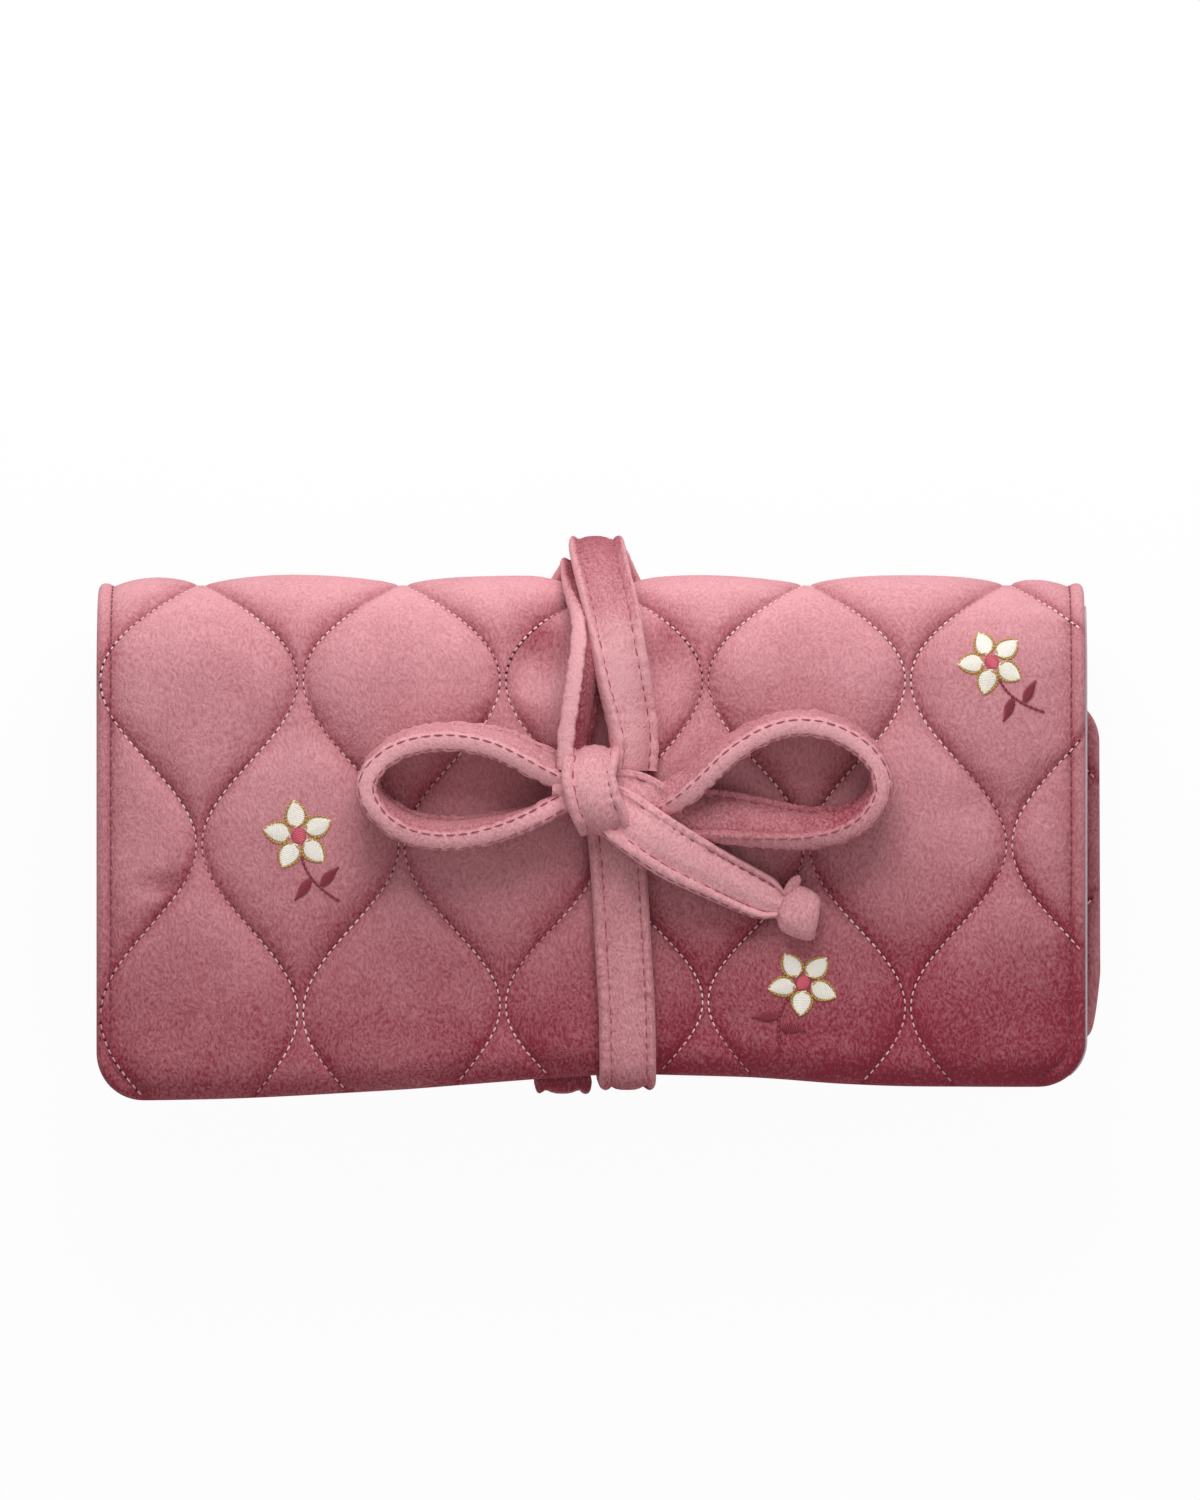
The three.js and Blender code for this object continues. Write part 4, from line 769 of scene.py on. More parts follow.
# Each row: place from the knot, lean of the outer face up from level, strap width, crease.
LEFT_LOOP = leaning([
    (-4.0, 2.2, 6.2, 36, 8, 0.3), (-7.0, 3.2, 6.2, 30, 9.5, 0.3), (-11.2, 5.3, 6.2, 25, 11, 0.22),
    (-16.8, 8.0, 6.2, 20, 12, 0.12), (-21.8, 9.6, 6.2, 16, 12, 0.05),
    (-28.9, 10.5, 6.2, 12, 12, 0.03), (-36.0, 9.9, 6.2, 10, 12, 0.03),
    (-41.6, 7.9, 6.2, 7, 12, 0.03), (-45.6, 4.5, 6.2, 3, 12, 0.05), (-47.2, 0.6, 6.2, -4, 12, 0.05),
    (-46.0, -3.0, 6.2, -10, 12, 0.05), (-42.6, -6.4, 6.2, -17, 12, 0.05),
    (-38.4, -8.7, 6.2, -19, 12, 0.05), (-33.0, -9.8, 6.2, -20, 12, 0.05),
    (-27.0, -9.8, 6.2, -18, 12, 0.06), (-20.4, -8.7, 6.2, -14, 12, 0.12),
    (-13.4, -7.0, 6.2, -4, 11, 0.22), (-7.5, -4.8, 6.0, 8, 9, 0.3), (-4.0, -3.4, 5.8, 12, 8, 0.3)])
RIGHT_LOOP = leaning([
    (13.2, -4.4, 4.4, 40, 6.5, 0.3), (17.4, -2.0, 5.0, 30, 8.5, 0.3), (21.4, 0.8, 5.6, 20, 10.5, 0.3),
    (26.1, 5.0, 6.0, 15, 12, 0.2), (29.9, 8.0, 6.2, 12, 12, 0.08), (34.6, 10.8, 6.2, 10, 12, 0.03),
    (39.6, 12.7, 6.2, 8, 12, 0.03), (44.6, 13.4, 6.2, 8, 12, 0.03), (49.6, 12.8, 6.2, 8, 12, 0.03),
    (54.2, 10.9, 6.2, 7, 12, 0.03), (57.9, 8.2, 6.2, 5, 12, 0.03), (60.4, 5.0, 6.2, 2, 12, 0.04),
    (61.3, 1.6, 6.2, -4, 12, 0.04), (60.6, -1.8, 6.2, -11, 12, 0.05), (58.4, -5.0, 6.2, -16, 12, 0.05),
    (55.2, -7.2, 6.0, -22, 12, 0.05), (50.9, -8.5, 5.8, -28, 12, 0.05), (45.0, -8.9, 5.4, -36, 12, 0.05),
    (38.8, -8.3, 4.8, -45, 12, 0.06), (32.5, -7.3, 4.1, -56, 12, 0.08), (26.7, -6.4, 3.4, -68, 12, 0.1),
    (21.0, -6.0, 2.8, -80, 11.5, 0.2), (15.5, -5.6, 2.6, -84, 10, 0.3)])
# The tail's rows: place from the knot, face direction, strap width and crease.
TAIL = np.array([
    (1.2, -2.4, 7.4, -0.1, 0.05, 1, 9, 0.3), (6.6, -6.4, 8.6, 0, 0.1, 1, 11.5, 0.3),
    (12.0, -10.4, 9.4, 0.1, 0.12, 1, 12, 0.2), (18.0, -14.3, 7.8, 0.28, 0.05, 1, 12, 0.12),
    (25.9, -18.5, 5.2, 0.22, 0.05, 1, 11, 0.12), (33.0, -22.0, 3.2, 0.1, 0, 1, 10.2, 0.16),
    (37.2, -23.9, 2.7, 0, 0, 1, 9.2, 0.22), (40.2, -25.1, 2.6, 0, 0, 1, 5.8, 0.25)])


# %% Loops and tail
def free_strap(name, rows, node, flip, painted_light_and_tone, pile_and_shade, thick=LOOP_THICK):
    """A free length of strap from the knot, with its stitches."""
    rows = rows.copy()
    rows[:, :3] = at_frame(rows[:, :3] + KNOT)
    fine = smooth_path(rows, 0.7)
    stations = strap_stations(fine[:, :3], fine[:, 3:6], thick, fine[:, 6], fine[:, 7], flip)
    piece = strap_piece(name, stations, painted_light_and_tone=painted_light_and_tone, pile_and_shade=pile_and_shade)
    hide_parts(node)
    stitches = groove_stitches(stations, GROOVES + [EDGE_SEAM])
    seam = thread_piece(name + "_seam", stitches, strap_thread)
    for item in (piece, seam):
        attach(item, "flap")
    return piece, stations


# Each length's pile is painted paler or deeper, and its lengths that run right or left too, as light and
# shade on the bow
loop_left, left_run = free_strap(
    "bow_loop_left", LEFT_LOOP, "tie_loop_left", flip=True, painted_light_and_tone=0.1, pile_and_shade=-0.1)
loop_right, right_run = free_strap(
    "bow_loop_right", RIGHT_LOOP, "tie_loop_right", flip=False, painted_light_and_tone=-0.08, pile_and_shade=0.18)
tail, tail_run = free_strap(
    "bow_tail", TAIL, "tie_tail", flip=False, painted_light_and_tone=0.22, pile_and_shade=0.0, thick=STRAP_THICK)
lengths = tuple(st["run"][-1] for st in (left_run, right_run, tail_run))
print("loops %.0f and %.0f mm, tail %.0f mm" % lengths)


# %% [markdown]
# The tail's end is gathered and bound, so that past the waist its cloth swells to a little barrel.
# The end face shows the folded layers as two slits, and a scrap of cloth stands out of the binding.


# %% Gathered tail end
# Run past the tail's last station, half width and half height of the gathered end
TAIL_END = np.array([
    (-1.2, 3.2, 1.8), (-0.4, 2.9, 1.6), (0.3, 3.1, 1.7), (0.9, 4.0, 2.3), (1.8, 4.9, 2.9),
    (3.0, 5.3, 3.2), (4.8, 5.4, 3.3), (6.4, 5.2, 3.2), (7.6, 4.8, 2.9), (8.3, 4.1, 2.4),
    (8.6, 3.3, 1.9), (8.5, 2.5, 1.4), (8.2, 1.7, 0.9), (8.4, 0.8, 0.4)])
END_FACE = 10                            # rows past this one lie in the end face
tail_base, tail_way, tail_wide, tail_up = (
    tail_run[key][-1] for key in ("path", "along", "across", "up"))


def at_tail(run, x, z):
    """Points in metres from a run along the tail's way, x across it and z off its face."""
    return (tail_base + tail_way * run[:, None] + tail_wide * x[:, None]
            + tail_up * z[:, None]) * MM


def tail_end():
    """The gathered barrel with its slits."""
    around = 48

    def shape(i, j):
        turn = 2 * math.pi * (i % around) / around
        run, rx, rz = TAIL_END[j].T
        fold = 1 + 0.05 * np.sin(7 * turn + 0.6) * np.clip(2.5 - np.abs(run - 1), 0, 1)
        x, z = rx * np.cos(turn) * fold, rz * np.sin(turn) * fold
        slit = sum(np.exp(-(((z - at - 0.1 * x) / 0.35) ** 2)) for at in (0.9, -0.5))
        slit = slit * (run > 6.5) * np.clip(1 - (x / 3.4) ** 2, 0, 1)
        run = run - 1.5 * slit + 0.22 * x * np.clip(run / 7, 0, 1)
        return at_tail(run, x, z + 0.5 * np.clip(run / 7, 0, 1))

    # Painted shade: the barrel is pale and its end face deeper
    def nap(i, j):
        return 0.78 - 0.5 * (j > END_FACE)

    return grid_piece("bow_tail_end", around + 1, len(TAIL_END), shape, strap_velvet, nap)


def tail_scrap():
    """The scrap of cloth that stands out of the binding."""
    around, along = 16, 8

    def shape(i, j):
        turn = 2 * math.pi * (i % around) / around
        t = j / along
        taper = np.sqrt(np.clip(1 - np.maximum(t - 0.45, 0) ** 2 / 0.31, 0.01, 1))
        size = 1.25 * taper * (0.75 + 0.5 * t)
        run, z = 0.2 + 1.1 * t + size * np.cos(turn), 0.9 + 0.5 * t + 0.45 * size * np.sin(turn)
        return at_tail(run, -1.6 - 5.6 * t, z)

    return grid_piece("bow_tail_scrap", around + 1, along + 1, shape, strap_velvet,
                      lambda i, j: 0.7 + 0 * i)


tail_cap, scrap = tail_end(), tail_scrap()
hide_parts("tie_tail_cap")
for item in (tail_cap, scrap):
    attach(item, "flap")

# %% Lengths of the loops
for piece, st, on_it in ((loop_left, left_run, []), (loop_right, right_run, [tail, tail_cap, scrap])):
    print("%s: cord of %.0f mm" % (piece.name, st["run"][-1]))

# %% [markdown]
# ## Quilted cover
# The cover bends at five fold lines when the roll opens, so it is made in five lengths. Cloth can
# only follow two bodies at once, so it is made in five lengths. Each has one fold line in its middle
# and meets the next between two fold lines, so the quilting runs on without a step.

# %% Cover lengths
COVER_CUTS = [0, (FOLD_C + FOLD_B) / 2, (FOLD_B + FOLD_A) / 2, (U_BACK + U_BOTTOM) / 2,
              (FOLD_D + FOLD_E) / 2, U_END]
COVER_NAMES = ["quilted_flap", "quilted_top_fold", "quilted_back",
               "quilted_bottom_fold", "quilted_inner_third"]
COVER_NODES = [["flap_cover"], ["top_fold_front", "top_fold_rear"], ["back_cover"],
               ["bottom_fold"], ["inner_cover"]]
FOLDS = [FOLD_C, FOLD_B, FOLD_A, FOLD_D, FOLD_E]
FOLD_REACH = [5.6, 5.6, 5.6, 4.6, 4.6]   # the cloth bends this far to each side of a fold line


def bend_at(piece, k):
    """Bakes a cloth piece's transform into its mesh; the ends of its bend at fold line k are worked out
    but not used.
    """
    start, end = lay(np.zeros(2), FOLDS[k] + FOLD_REACH[k] * np.array([-1, 1]), np.zeros(2))
    end[0] = start[0]
    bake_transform(piece)


print("cover lengths:", ", ".join("%.1f" % d for d in np.diff(COVER_CUTS)), "mm")

# %% Painted light and shade on the cover
# Painted light along the cloth: deep at the flap's lower edge, palest over the top fold
PAINTED_LIGHT_AT = [0, 20, 50, 80, 100, 112, 150, 230]
PAINTED_LIGHT = [0.14, 0.25, 0.6, 0.68, 0.74, 0.94, 0.8, 0.5]
# Painted shade on the puffs beside the tie: place, cloth length, half width and depth of shade
PAINTED_SHADE_BY_TIE = [(-9.0, 96, 4.5, 0.4), (15.5, 95, 3.5, 0.25)]


def cover_painted_light(x, u):
    """Painted light and shade: deeper in valleys, at the hem and where a puff looks down the roll."""
    slope = puff_height(x, np.clip(u + 1, 0, U_END)) - puff_height(x, np.clip(u - 1, 0, U_END))
    valley = np.exp(-np.abs(seam_x(u) - x[..., None]).min(-1) / 2.4)
    hem = np.exp(-np.abs(HALF - np.abs(x) - HEM) / 1.2)
    pile_and_shade = np.interp(u, PAINTED_LIGHT_AT, PAINTED_LIGHT)
    # Painted light and shade: upper slopes paler, lower slopes, valleys and the hem line deeper
    painted_hollow_shade = 0.42 * np.clip(slope, -0.4, 0.4) + 0.34 * valley + 0.3 * hem
    pile_and_shade = pile_and_shade - np.clip(pile_and_shade / 0.6, 0.4, 1) * painted_hollow_shade
    # Painted shade: deeper at the right and paler at the left, towards the flap's lower edge
    shade = 0.09 * np.clip(x / 60, -1, 1) * np.clip((60 - u) / 40, 0, 1)
    for place, length, wide, deep in PAINTED_SHADE_BY_TIE:
        shade = shade + deep * np.exp(-((x - place) / wide) ** 2 - ((u - length) / 8) ** 2)
    return np.clip(pile_and_shade - shade, 0, 1)


# %% Quilted lengths
# Distances of the rows and columns next to a free edge
EDGE_STEPS = [0, 0.08, 0.3, 0.7, 1.2, 1.8, 2.4, 2.8, 3.0, 3.25, 3.7, 4.4]
PER_PUFF, ROW_STEP = 26, 0.9             # columns between two seams, and millimetres between rows
EDGE_ROUND = 1.1                         # the two faces close over this distance from the edge


def cloth_rows(start, stop, step):
    """Cloth lengths of the rows, closer together at a free edge."""
    low = start + (EDGE_STEPS[-1] if start == 0 else 0)
    high = stop - (EDGE_STEPS[-1] if stop == U_END else 0)
    rows = list(np.linspace(low, high, int(round((high - low) / step)) + 1))
    if start == 0:
        rows = EDGE_STEPS[:-1] + rows
    if stop == U_END:
        rows = rows + [U_END - d for d in EDGE_STEPS[:-1]][::-1]
    return np.array(rows)


def round_edge(outer, inner, edge):
    """Both faces of a sheet drawn together over the last millimetre to its edge."""
    k = np.sqrt(1 - (1 - np.clip(edge / EDGE_ROUND, 0, 1)) ** 2)
    middle = (outer + inner) / 2
    return middle + (outer - middle) * k, middle + (inner - middle) * k


def quilted_length(name, start, stop):
    """One length of the padded cover: its columns run along the seams, outside and then inside."""
    rows = cloth_rows(start, stop, ROW_STEP)
    ease = np.linspace(0, 1, PER_PUFF + 1)[:-1]
    ease = 0.5 * ease + 0.5 * (0.5 - 0.5 * np.cos(math.pi * ease))
    rim = half_width(np.clip(rows, HEM, U_END - HEM), HEM)[:, None]
    edge = half_width(rows, 0)[:, None]
    lines = np.concatenate([-rim, np.clip(seam_x(rows), -rim, rim), rim], 1)
    gaps = np.diff(lines, axis=1)
    across = (lines[:, :-1, None] + gaps[:, :, None] * ease).reshape(len(rows), -1)
    margin = np.array([d for d in EDGE_STEPS if d < HEM])[None, :] / HEM
    left = -edge + (edge - rim) * margin
    outer = np.concatenate([left, across, rim, -left[:, ::-1]], 1)
    columns = 2 * outer.shape[1]
    x = np.concatenate([outer, outer[:, ::-1]], 1)
    u = np.broadcast_to(rows[:, None], x.shape)
    off = np.maximum(hem_distance(x, u), 0)
    top, under = round_edge(puff_height(x, u), np.full(x.shape, -PAD), off)
    h = np.where(np.arange(columns)[None, :] < outer.shape[1], top, under)
    # The cover's painted light and shade at each point
    points, pile_and_shade = lay(x, u, h), cover_painted_light(x, u)
    return grid_piece(name, columns, len(rows), lambda i, j: points[j, i], velvet,
                      lambda i, j: pile_and_shade[j, i])


for k, name in enumerate(COVER_NAMES):
    piece = quilted_length(name, COVER_CUTS[k], COVER_CUTS[k + 1])
    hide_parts(*COVER_NODES[k])
    bend_at(piece, k)

# %% [markdown]
# ## Quilting stitches
# Stitches follow the seams of the pattern and lie in their valleys, with a dark bead painted as
# the shadow of a needle hole between two.


# %% Stitches on the cover
HOLE_SHARE, HOLE_WIDE, HOLE_TALL, HOLE_LIFT = 0.2, 0.85, 0.3, 0.02
LINE_STEP = 0.25                         # millimetres between the points of a line of stitches


def cloth_normal(u):
    """Direction out of the cloth at cloth length u."""
    _, _, ny, nz = cover_at(u)
    return (0.0, float(ny), float(nz))


def cloth_stitches(xs, us, pitch, share, wide, tall, lift):
    """Stitches and dark beads painted as shadow in the holes between them, along a line on the pattern.
    """
    run = np.concatenate([[0], np.cumsum(np.hypot(np.diff(xs), np.diff(us)))])

    def laid(low, high, lift, wide, tall):
        ends = [low * pitch, high * pitch]
        x, u = np.interp(ends, run, xs), np.interp(ends, run, us)
        points = lay(x, u, puff_height(x, u) + lift)
        return points[0], points[1], cloth_normal(u.mean()), wide * MM, tall * MM

    count = range(int(run[-1] / pitch))
    stitches = [laid(k + 0.5 - share / 2, k + 0.5 + share / 2, lift, wide, tall) for k in count]
    holes = [laid(k + 1 - HOLE_SHARE, k + 1 + HOLE_SHARE, HOLE_LIFT, HOLE_WIDE, HOLE_TALL)
             for k in count]
    return stitches, holes


def length_of_cover(k):
    """Cloth lengths of the points of a line along cover length k."""
    return np.arange(COVER_CUTS[k], COVER_CUTS[k + 1] + 0.01, LINE_STEP)


# %% Quilting stitches
for k, name in enumerate(COVER_NAMES):
    stitches, holes = [], []
    us = length_of_cover(k)
    for xs in seam_x(us).T:
        inside = hem_distance(xs, us) > 0.9
        starts = np.flatnonzero(np.diff(np.concatenate([[0], inside.astype(int), [0]])))
        for a, b in zip(starts[::2], starts[1::2]):
            if b - a > 8:
                new = cloth_stitches(xs[a:b], us[a:b], pitch=1.75, share=0.66, wide=0.46, tall=0.42,
                                     lift=0.16)
                stitches += new[0]
                holes += new[1]
    # Needle holes are dark beads of painted shadow
    for part, rows, material, bead in (("seams", stitches, quilting_thread, (6, 4)),
                                       ("holes", holes, needle_hole_shadow, (5, 3))):
        piece = thread_piece(name + "_" + part, rows, material, *bead)
        bend_at(piece, k)

# %% Hem topstitching
for k, name in enumerate(COVER_NAMES):
    us = length_of_cover(k)
    us = us[(us >= HEM) & (us <= U_END - HEM)]
    lines = [(side * half_width(us, HEM), us) for side in (-1, 1)]
    if name == "quilted_inner_third":
        reach = half_width(np.array([HEM]), HEM)[0]
        across = np.arange(-reach, reach, LINE_STEP)
        lines.append((across, np.full(across.shape, U_END - HEM)))
    stitches = []
    for xs, line_us in lines:
        stitches += cloth_stitches(xs, line_us, pitch=2.1, share=0.78, wide=0.6, tall=0.36,
                                   lift=0.12)[0]
    piece = thread_piece(name + "_topstitch", stitches, hem_thread)
    bend_at(piece, k)

# %% [markdown]
# ## The wound strap
# From the knot two bands go up over the top fold, one over the other, down the back, round the
# bottom fold and up again. Each route is written as places on the pattern, with a lift off the
# cloth and a turn, because the left band stands on edge beside the knot.

# %% Routes of the wound bands
# Down the back, for both bands: cloth length, lift and thickness
ON_BACK = [(145.9, 1.5, 2.6), (149.8, 0.0, 2.3), (153.8, -1.05, 2.2), (158, -1.5, 2.2),
           (175, -1.45, 2.2), (200, -1.45, 2.2), (218, -1.45, 2.2), (224.1, -1.45, 2.2),
           (226.6, -0.9, 2.4), (229, 0.5, 2.8), (232.7, 1.7, 3.4), (236.3, 2.3, 4.0)]
# From the knot over the top fold: x, cloth length, lift, turn and thickness
RIGHT_BAND = [(8.8, 68, 2.0, 0.7, 4.2), (9.2, 74, 2.4, 0.72, 4.2), (8.4, 80, 3.2, 0.6, 4.2),
              (7.0, 87, 4.6, 0.42, 4.2), (5.6, 93, 6.0, 0.25, 4.2), (4.4, 98.8, 6.6, 0.1, 4.2),
              (2.0, 110, 6.3, 0, 4.2), (1.2, 122, 6.2, 0, 4.2), (1.6, 129, 6.2, 0, 4.0),
              (2.6, 133, 6.0, 0, 3.7), (4.0, 137, 5.4, 0, 3.4), (5.8, 141, 4.2, 0, 2.9)]
LEFT_BAND = [(-3.6, 68, 5.6, 1.2, 4.2), (-3.5, 74, 5.7, 1.2, 4.2), (-2.5, 80, 5.7, 1.16, 4.2),
             (-1.2, 87, 5.3, 1.1, 4.2), (0.3, 93, 4.4, 0.95, 4.2), (1.1, 98.8, 2.9, 0.55, 4.2),
             (0.7, 104, 2.1, 0.2, 4.2), (-0.2, 110, 1.8, 0, 4.2), (-0.6, 122, 1.8, 0, 4.2),
             (-1.0, 129, 1.9, 0, 4.0), (-2.0, 133, 1.9, 0, 3.7), (-3.6, 137, 1.9, 0, 3.4),
             (-5.6, 141, 1.8, 0, 2.9)]


# %% Lengths of band
def band_stations(rows):
    """Stations of a band whose rows are x, cloth length, lift, turn and thickness."""
    x, u, lift, turn, thick = np.array(rows, float).T
    y, z, ny, nz = cover_at(u)
    path = at_frame(np.stack([x, y + ny * lift, z + nz * lift], -1))
    faces = np.stack([np.sin(turn), ny * np.cos(turn), nz * np.cos(turn)], -1)
    fine = smooth_path(np.column_stack([path, faces, thick, u]), 0.8)
    stations = strap_stations(fine[:, :3], fine[:, 3:6], thick=fine[:, 6])
    stations["u"] = fine[:, 7]
    return stations


def band_part(name, stations, nodes, k=None, body=None, painted_light_and_tone=0.0, shade=(0.2, 0.2)):
    """A length of band with its stitches, which rides on one body or has its transform baked at fold
    line k.
    """
    piece = strap_piece(name, stations, painted_light_and_tone=painted_light_and_tone, shade=shade)
    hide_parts(*nodes)
    seam = thread_piece(name + "_seam", groove_stitches(stations, GROOVES), strap_thread)
    for item in (piece, seam):
        if k is None:
            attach(item, body)
        else:
            bend_at(item, k)


# %% Bands over the top fold and down the back
# Painted shade: both bands are deeper where they look up the roll, the left band also on its sideways
# face in the hollow between them, and the offset paints them paler
for side, rows, x, shade in (("right", RIGHT_BAND, BAND_X, (-0.1, 0.7)),
                             ("left", LEFT_BAND, -BAND_X, (0.8, 0.9))):
    stations = band_stations(rows + [(x, u, lift, 0, thick) for u, lift, thick in ON_BACK])
    nodes = [["tie_front_" + side, "tie_top_front_" + side], ["tie_top_rear_" + side],
             ["tie_back_" + side], []]
    cuts = [int(np.argmin(np.abs(stations["u"] - c))) for c in COVER_CUTS[1:4]]
    cuts = [0] + cuts + [len(stations["u"]) - 1]
    for k, place in enumerate(("front", "top", "back", "foot")):
        length = part_of(stations, cuts[k], cuts[k + 1])
        band_part("band_%s_%s" % (place, side), length, nodes[k], k, painted_light_and_tone=0.14, shade=shade)

# %% [markdown]
# Round the bottom fold the two bands part from the cloth: one goes up outside the flap's edge and
# becomes the lower front band, the other ends under the flap.


# %% Bands at the bottom fold and the lower front band
def drawn_strap(rows, thick=STRAP_THICK, width=STRAP_WIDTH, crease=0.0):
    """Stations through rows of a place and a face direction in the part's own drawing."""
    rows = np.array(rows, float)
    rows[:, :3] = at_frame(rows[:, :3])
    fine = smooth_path(rows, 0.7)
    return strap_stations(fine[:, :3], fine[:, 3:6], thick, width, crease)


UPRIGHT_RIGHT = [(BAND_X, -45.4, 5.4, 0, -0.87, -0.5), (BAND_X, -47.0, 9.0, 0, -0.97, -0.2),
                 (6.7, -49, 17, 0, -0.98, 0.2), (7.0, -51.4, 28, 0, -0.98, 0.2),
                 (7.4, -52.6, 36, 0, -1, 0.1), (7.8, -52.9, 42.6, 0, -1, 0)]
UPRIGHT_LEFT = [(-BAND_X, -45.4, 5.4, 0, -0.87, -0.5), (-BAND_X, -47.0, 9.0, 0, -0.97, -0.2),
                (-6.5, -50, 17, 0, -0.95, 0.3), (-6.2, -53.2, 26, 0, -0.96, 0.28),
                (-5.9, -53.9, 31, 0, -1, 0.1), (-5.8, -53.4, 36.5, 0, -1, -0.1)]
FRONT_LOWER = [(4.6, 5, 46.4, 0, 0, 1), (5.2, -1, 46.2, 0, 0, 1), (6.0, -10, 46.3, 0, 0, 1),
               (6.9, -26, 46.3, 0, 0, 1), (7.6, -38, 46.2, 0, 0, 1), (7.8, -48, 46.2, 0, -0.08, 1),
               (7.8, -51.4, 45.4, 0, -0.5, 0.86), (7.8, -52.6, 44.2, 0, -0.86, 0.5),
               (7.8, -52.9, 42.6, 0, -1, 0)]
# Painted shade: the upright bands are deeper, the left one most, in the shade under the flap's edge
for name, rows, node, body, painted_light_and_tone in (
        ("band_upright_right", UPRIGHT_RIGHT, "tie_bottom_right", "bottom_fold", -0.2),
        ("band_upright_left", UPRIGHT_LEFT, "tie_bottom_left", "bottom_fold", -0.5),
        ("band_lower_front", FRONT_LOWER, "tie_front_lower", "flap", -0.04)):
    band_part(name, drawn_strap(rows), [node], body=body, painted_light_and_tone=painted_light_and_tone)

# %% [markdown]
# ## The knot
# One turn of strap is wrapped over the crossing and leans a little. To its right a second fold
# shows where the loop is drawn through, and inside runs the strand that both hold.

# %% Knot wrap, fold and core
KNOT_Z = FLAP_TOP + 7.0
WRAP_HALF_Y, WRAP_HALF_Z, WRAP_DROP = 7.6, 5.1, 0.9
WRAP = []
for a in np.radians(np.arange(-70, 251, 20)):
    y, z = WRAP_HALF_Y * math.cos(a) - WRAP_DROP, WRAP_HALF_Z * math.sin(a)
    x = np.interp(y, [-8.5, -3, 2.4, 6.7], [3.0, 0.5, -0.7, 0.4])
    face = (0, math.cos(a) / WRAP_HALF_Y, math.sin(a) / WRAP_HALF_Z)
    WRAP.append((x, KNOT[1] + y, KNOT_Z + z) + face)
LOBE = [(0.5, 6.4, 51.2, 0, 0.2, 1), (4.5, 7.4, 51.8, 0, 0.2, 1), (8.6, 7.4, 52.0, 0.05, 0.2, 1),
        (11.8, 6.0, 51.8, 0.2, 0.15, 1), (13.9, 3.4, 51.0, 0.35, 0.1, 1),
        (14.6, 0.0, 49.8, 0.4, 0, 1), (14.2, -4.0, 48.4, 0.3, -0.1, 1)]
CORE = [(-8, 9.4, 51.2, 0, 1, 0.2), (-3, 9.2, 51.4, 0, 1, 0.1), (3, 8.4, 51, 0, 1, 0),
        (9, 6.6, 50, 0, 1, 0.3), (14, 5.2, 49, -0.3, 1, 0.5)]
# Painted light: the wrap is paler where light falls on its top
for name, rows, thick, width, crease, node, painted_light_and_tone in (
        ("knot_wrap", WRAP, STRAP_THICK, 11.6, 0.12, "tie_knot_wrap", 0.2),
        ("knot_fold", LOBE, 3.6, 11, 0.2, "tie_knot_lobe", 0.0),
        ("knot_core", CORE, STRAP_THICK, 7.5, 0.2, "tie_knot_core", 0.0)):
    band_part(name, drawn_strap(rows, thick, width, crease), [node], body="flap", painted_light_and_tone=painted_light_and_tone)

# %% [markdown]
# ## Lining
# The satin is sewn in along the hem and stretched behind the padding, in the same five lengths as
# the cover. On the flap's right side it reaches a little past the velvet and shows as a pale line,
# and it stops short of the flap's lower edge.

# %% Lining lengths
LINING_NAMES = ["lining_flap", "lining_top_fold", "lining_back",
                "lining_bottom_fold", "lining_inner_third"]
LINING_NODES = [["flap_lining"], ["top_fold_front_lining", "top_fold_rear_lining"],
                ["back_lining"], ["bottom_fold_lining"], ["inner_lining"]]
LINING_PAST, LINING_INSET = 0.55, 2.4    # past the flap's right edge, short of its lower edge
LINING_COLUMNS, LINING_STEP = 90, 1.5    # points across each face, millimetres between rows


def lining_length(name, start, stop, past):
    """One length of satin with two faces, which reaches past the velvet at its right side."""
    rows = np.minimum(cloth_rows(start, stop, LINING_STEP), U_END - 0.4)
    rows = rows + LINING_INSET * np.clip(1 - rows / 12, 0, 1)
    side = np.concatenate([np.linspace(way, -way, LINING_COLUMNS) for way in (-1, 1)])[None, :]
    x = side * (half_width(rows, 0.15)[:, None] + past * (side > 0))
    u = np.broadcast_to(rows[:, None], x.shape)
    off = np.maximum(hem_distance(x - past * (side > 0), u), 0)
    wave = (0.10 * np.sin(0.8 * x + np.sin(0.3 * u)) * np.exp(-off / 4)
            + 0.08 * np.sin(0.07 * x) * np.sin(0.11 * u))
    columns = side.size
    outer = np.arange(columns)[None, :] < LINING_COLUMNS
    points = lay(x, u, np.where(outer, -PAD - 0.05, -LINING_TOP + wave))
    return grid_piece(name, columns + 1, len(rows), lambda i, j: points[j, i % columns], satin_lining)


for k, name in enumerate(LINING_NAMES):
    past = LINING_PAST if name == "lining_flap" else 0.0
    piece = lining_length(name, COVER_CUTS[k], COVER_CUTS[k + 1], past)
    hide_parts(*LINING_NODES[k])
    bend_at(piece, k)

# %% [markdown]
# ## Pockets
# A pocket panel is a hemmed piece of satin laid on the lining: a flat grid with two faces that meet
# at its border and part a little in the middle. The slip pocket is on the back, with a velvet
# binding along its mouth.


# %% Pocket panels
PANEL_HALF, SEAM_HALF = 98, 96.5         # half length of a panel, and of the stitching on it
PANEL_COLUMNS, PANEL_ROWS = 60, 30       # squares along and across each face
PANEL_STITCH = (0.5 * MM, 0.3 * MM)      # width and height


